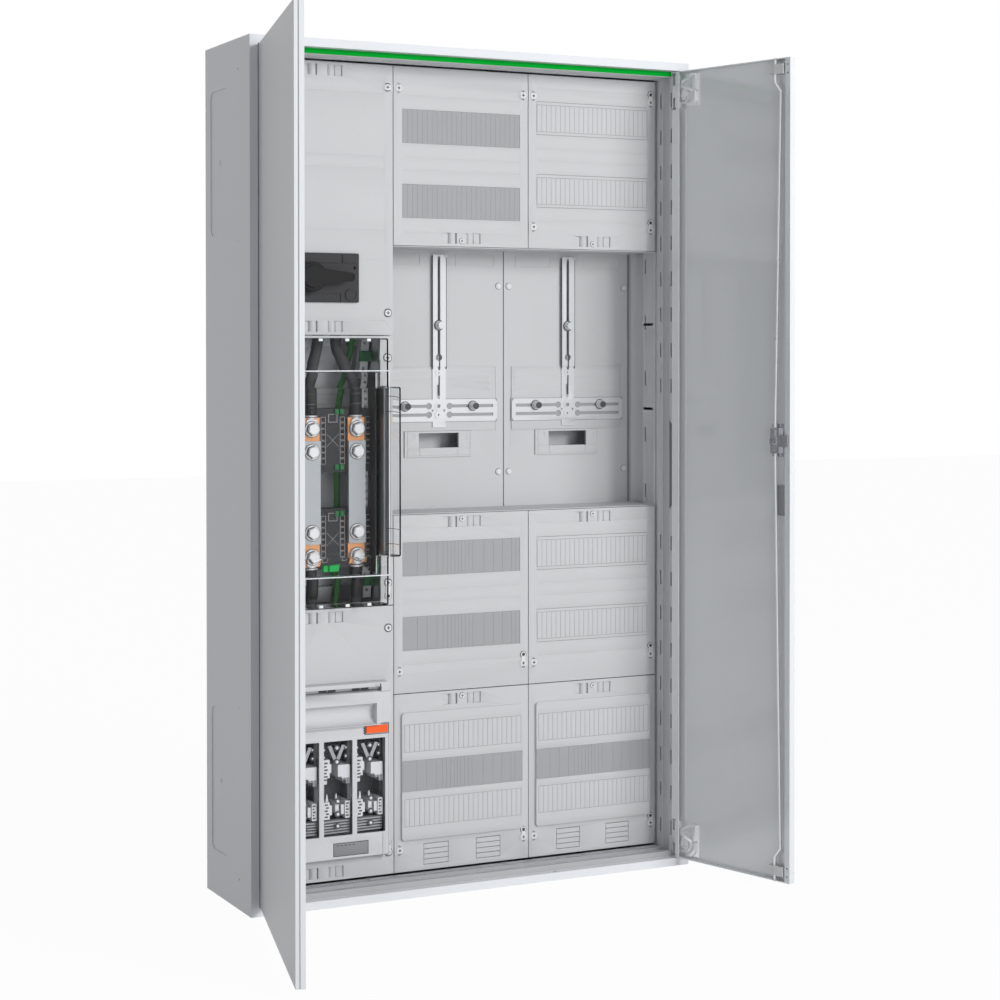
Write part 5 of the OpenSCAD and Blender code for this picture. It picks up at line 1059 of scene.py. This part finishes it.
class CABINET_OT_covers(bpy.types.Operator):
    """Moulded covers of all three fields and their blanking strips."""

    bl_idname = "cabinet.covers"
    bl_label = "Covers"

    def execute(self, context):
        moulded = context.scene.cabinet_sizes.moulded_round / MM
        soften("covers", moulded, "switch_cover", "link_cover", "fuse_cover")
        soften("covers", 0.3, "middle_covers", "right_covers")
        soften("strips", 0.15, "blanking_strips")
        middle, right = METER_MIDS
        raised_d = LINE_D - PANEL_RISE
        lines = [line for z in STRIP_ROWS
                 for line in self.row_lines(right, LINE_D, z, (ROW_H / 2, STRIP_HALF))]
        lines += [line for mid in (right, middle) for z in PANEL_ROWS
                  for line in self.row_lines(mid, raised_d, z, (ROW_H / 2,))]
        piece("row_lines", lines, "strips")
        return {"FINISHED"}

    @staticmethod
    def row_lines(mid, d, z, ends):
        """Lines between the half modules of a row, and lines along it at each distance of ends."""
        half = LINE_W / 2
        lines = [block((p - half, d, z - ROW_H / 2), (p + half, d + 0.5, z + ROW_H / 2), 0.1)
                 for p in mid + ROW_W * np.linspace(-0.5, 0.5, MODULES * 2 + 1)]
        for up in [e * h for h in ends for e in (-1, 1)]:
            low, high = mid - ROW_W / 2, mid + ROW_W / 2
            lines.append(block((low, d, z + up - half), (high, d + 0.5, z + up + half), 0.1))
        return lines


class CABINET_OT_meter_bay(bpy.types.Operator):
    """Meter plates and the crosses with their screws."""

    bl_idname = "cabinet.meter_bay"
    bl_label = "Meter Bay"

    def execute(self, context):
        soften("covers", 0.4, "meter_plates")
        soften("cross", 0.4, "meter_crosses")
        slots, shadow_outlines = [], []
        for c in METER_MIDS:
            slots += self.cross_slot_shade(c)
            # A mid-grey block, a little wider than each crossbar and set behind it, shows round its
            # edges: painted shadow.
            low, high = c - BEAM_W / 2 - 1.0, c + BEAM_W / 2 + 1.0
            shadow_outlines.append(block((low, 172.3, BEAM_Z[0]), (high, 173.4, BEAM_Z[1]), 0.2))
        piece("cross_slot_shade", slots, "shade_and_print")
        piece("cross_shadow_outlines", shadow_outlines, "strips")
        return {"FINISHED"}

    @staticmethod
    def cross_slot_shade(c):
        """Painted shade on a meter cross: dark slots in its post, dark lines along its sides, and
        dark discs behind and in the heads of its three screws."""
        slots = [block((c - 1.3, 168.1, z0), (c + 1.3, 168.9, z1))
                 for z0, z1 in ((868, 934), (953, 1058))]
        slots.append(block((c - 1.3, 170.1, 822), (c + 1.3, 170.9, 868)))
        slots += [block((p - 0.6, 168.3, 868), (p + 0.6, 170.5, 1064))
                  for p in (c - 12.8, c + 12.8)]
        slots.append(disc(7.6, 9.2, 1.0, 28, c - 1.1, 943.6, 168.6))
        screws = c - CROSS_SCREW_OUT, c + CROSS_SCREW_OUT
        slots += [seat(9.0, p, CROSS_SCREW_Z, 170.7) for p in screws]
        bore = [(5.4, 0), (5.8, 0.8), (5.4, 0.8)]
        return slots + [turned_out(bore, 20, p, CROSS_SCREW_Z, 157.6) for p in screws]


class CABINET_OT_fasteners(bpy.types.Operator):
    """Cover locks and screws."""

    bl_idname = "cabinet.fasteners"
    bl_label = "Fasteners"

    def execute(self, context):
        soften("fastener", 0.3, "cover_fasteners")
        # The dark discs, slots, arcs and dashes round the heads of locks and screws are painted
        # shadow and painted shade.
        shadows = []
        for lock in self.locks():
            shadows += self.lock_shadows(*lock)
        # A dark disc behind each second head: painted shadow.
        for i, z, rise in TWINS:
            p = EDGE + FIELD_W * (i + 1) - LOCK_IN
            shadows.append(seat(5.8, p, z + rise, COVER_D - 0.7))
        for p in METER_MIDS:
            for z in (314.8, 614.8, 1085.2):
                shadows += self.screw_shadows(p, z, COVER_D + 0.2, 4.9, COVER_D - 1.55)
        for p in (285, 515, 535, 765):
            for z in (625 + PLATE_SCREW_IN, 1075 - PLATE_SCREW_IN):
                shadows += self.screw_shadows(p, z, PLATE_D + 0.2, 5.9, PLATE_D - 1.65)
        piece("lock_shadows", shadows, "shade_and_print")
        return {"FINISHED"}

    @staticmethod
    def locks():
        """Field and place (i, p, z) of all cover locks: 10 mm from a field's sides, 37.5 mm from a
        cover's end."""
        rows = ((0, (62.5, 437.5, 512.5, 887.5, 962.5, 1337.5)), (1, (62.5, 362.5, 1337.5)),
                (2, (62.5, 362.5, 1112.5, 1337.5)))
        return [(i, EDGE + FIELD_W * i + side, z) for i, heights in rows for z in heights
                for side in (LOCK_IN, FIELD_W - LOCK_IN)]

    @staticmethod
    def screw_shadows(p, z, foot, radius, front):
        """Painted shadow behind a screw's head: a dark disc wider than the head; and painted shade
        in its
        cross slot: two dark bars on the head's front."""
        bars = [block((p - w, front, z - h), (p + w, front + 0.3, z + h), 0.05)
                for w, h in ((0.45, 2.4), (2.4, 0.45))]
        return [seat(radius, p, z, foot)] + bars

    @staticmethod
    def lock_shadows(i, p, z):
        """Painted shade in the four-armed key slot of a lock, and painted shadows round its head:
        an arc at each side and above and below it in the first field, and in the others a half
        circle towards the field's edge and a dash above and below. The star's radius is 1.1 + 2.1
        |cos 2a| ** 3."""
        a = np.arange(32) * 2 * math.pi / 32
        r = 1.1 + 2.1 * np.abs(np.cos(2 * a)) ** 3
        star = np.stack([p + r * np.cos(a), z + r * np.sin(a)], -1)
        shapes = [raised(star, [(0, 74.2), (0, 73.0), (0.05, 72.93)])]
        outer = 0.0 if (p - EDGE) % FIELD_W > FIELD_W / 2 else math.pi
        if i == 0:
            aside, quarter = np.linspace(-math.pi / 4, math.pi / 4, 8), np.linspace(-0.78, 0.78, 12)
            rims = [arc(p, z, 6.5, 7.0, aside + outer + way) for way in (0, math.pi)]
            ends = [arc(p, z, 5.6, 7.1, quarter + way * math.pi / 2) for way in (1, -1)]
        else:
            rims = [arc(p, z, 8.2, 8.7, np.linspace(-math.pi / 2, math.pi / 2, 14) + outer)]
            ends = [[(p - 2.6, z + way * 6.0), (p + 2.6, z + way * 6.0),
                     (p + 2.6, z + way * 7.2), (p - 2.6, z + way * 7.2)] for way in (1, -1)]
        shapes += [raised(rim, [(0, 75.1), (0, 74.3), (0.05, 74.25)]) for rim in rims]
        return shapes + [raised(end, [(0, 75.1), (0, 73.95), (0.05, 73.9)]) for end in ends]


OPERATORS = (
    CABINET_OT_stage, CABINET_OT_finishes, CABINET_OT_enclosure, CABINET_OT_inner_frame,
    CABINET_OT_doors, CABINET_OT_hinges, CABINET_OT_rod_lock, CABINET_OT_main_switch,
    CABINET_OT_link_bars, CABINET_OT_cables, CABINET_OT_fuse_switch, CABINET_OT_covers,
    CABINET_OT_meter_bay, CABINET_OT_fasteners,
)


class CABINET_PT_panel(bpy.types.Panel):
    """Sidebar list of the steps, with the sizes and colours above them."""

    bl_idname = "CABINET_PT_panel"
    bl_label = "Meter Cabinet"
    bl_space_type = "VIEW_3D"
    bl_region_type = "UI"
    bl_category = "Cabinet"

    def draw(self, context):
        for group in (context.scene.cabinet_sizes, context.scene.cabinet_colours):
            box = self.layout.box()
            for key in group.__annotations__:
                box.prop(group, key)
        for step in OPERATORS:
            self.layout.operator(step.bl_idname)


CLASSES = (CabinetColours, CabinetSizes) + OPERATORS + (CABINET_PT_panel,)


def register():
    for cls in CLASSES:
        bpy.utils.register_class(cls)
    bpy.types.Scene.cabinet_colours = bpy.props.PointerProperty(type=CabinetColours)
    bpy.types.Scene.cabinet_sizes = bpy.props.PointerProperty(type=CabinetSizes)


def unregister():
    del bpy.types.Scene.cabinet_sizes
    del bpy.types.Scene.cabinet_colours
    for cls in reversed(CLASSES):
        bpy.utils.unregister_class(cls)


def main():
    register()
    for step in OPERATORS:
        group, name = step.bl_idname.split(".")
        getattr(getattr(bpy.ops, group), name)()


if __name__ == "__main__":
    main()
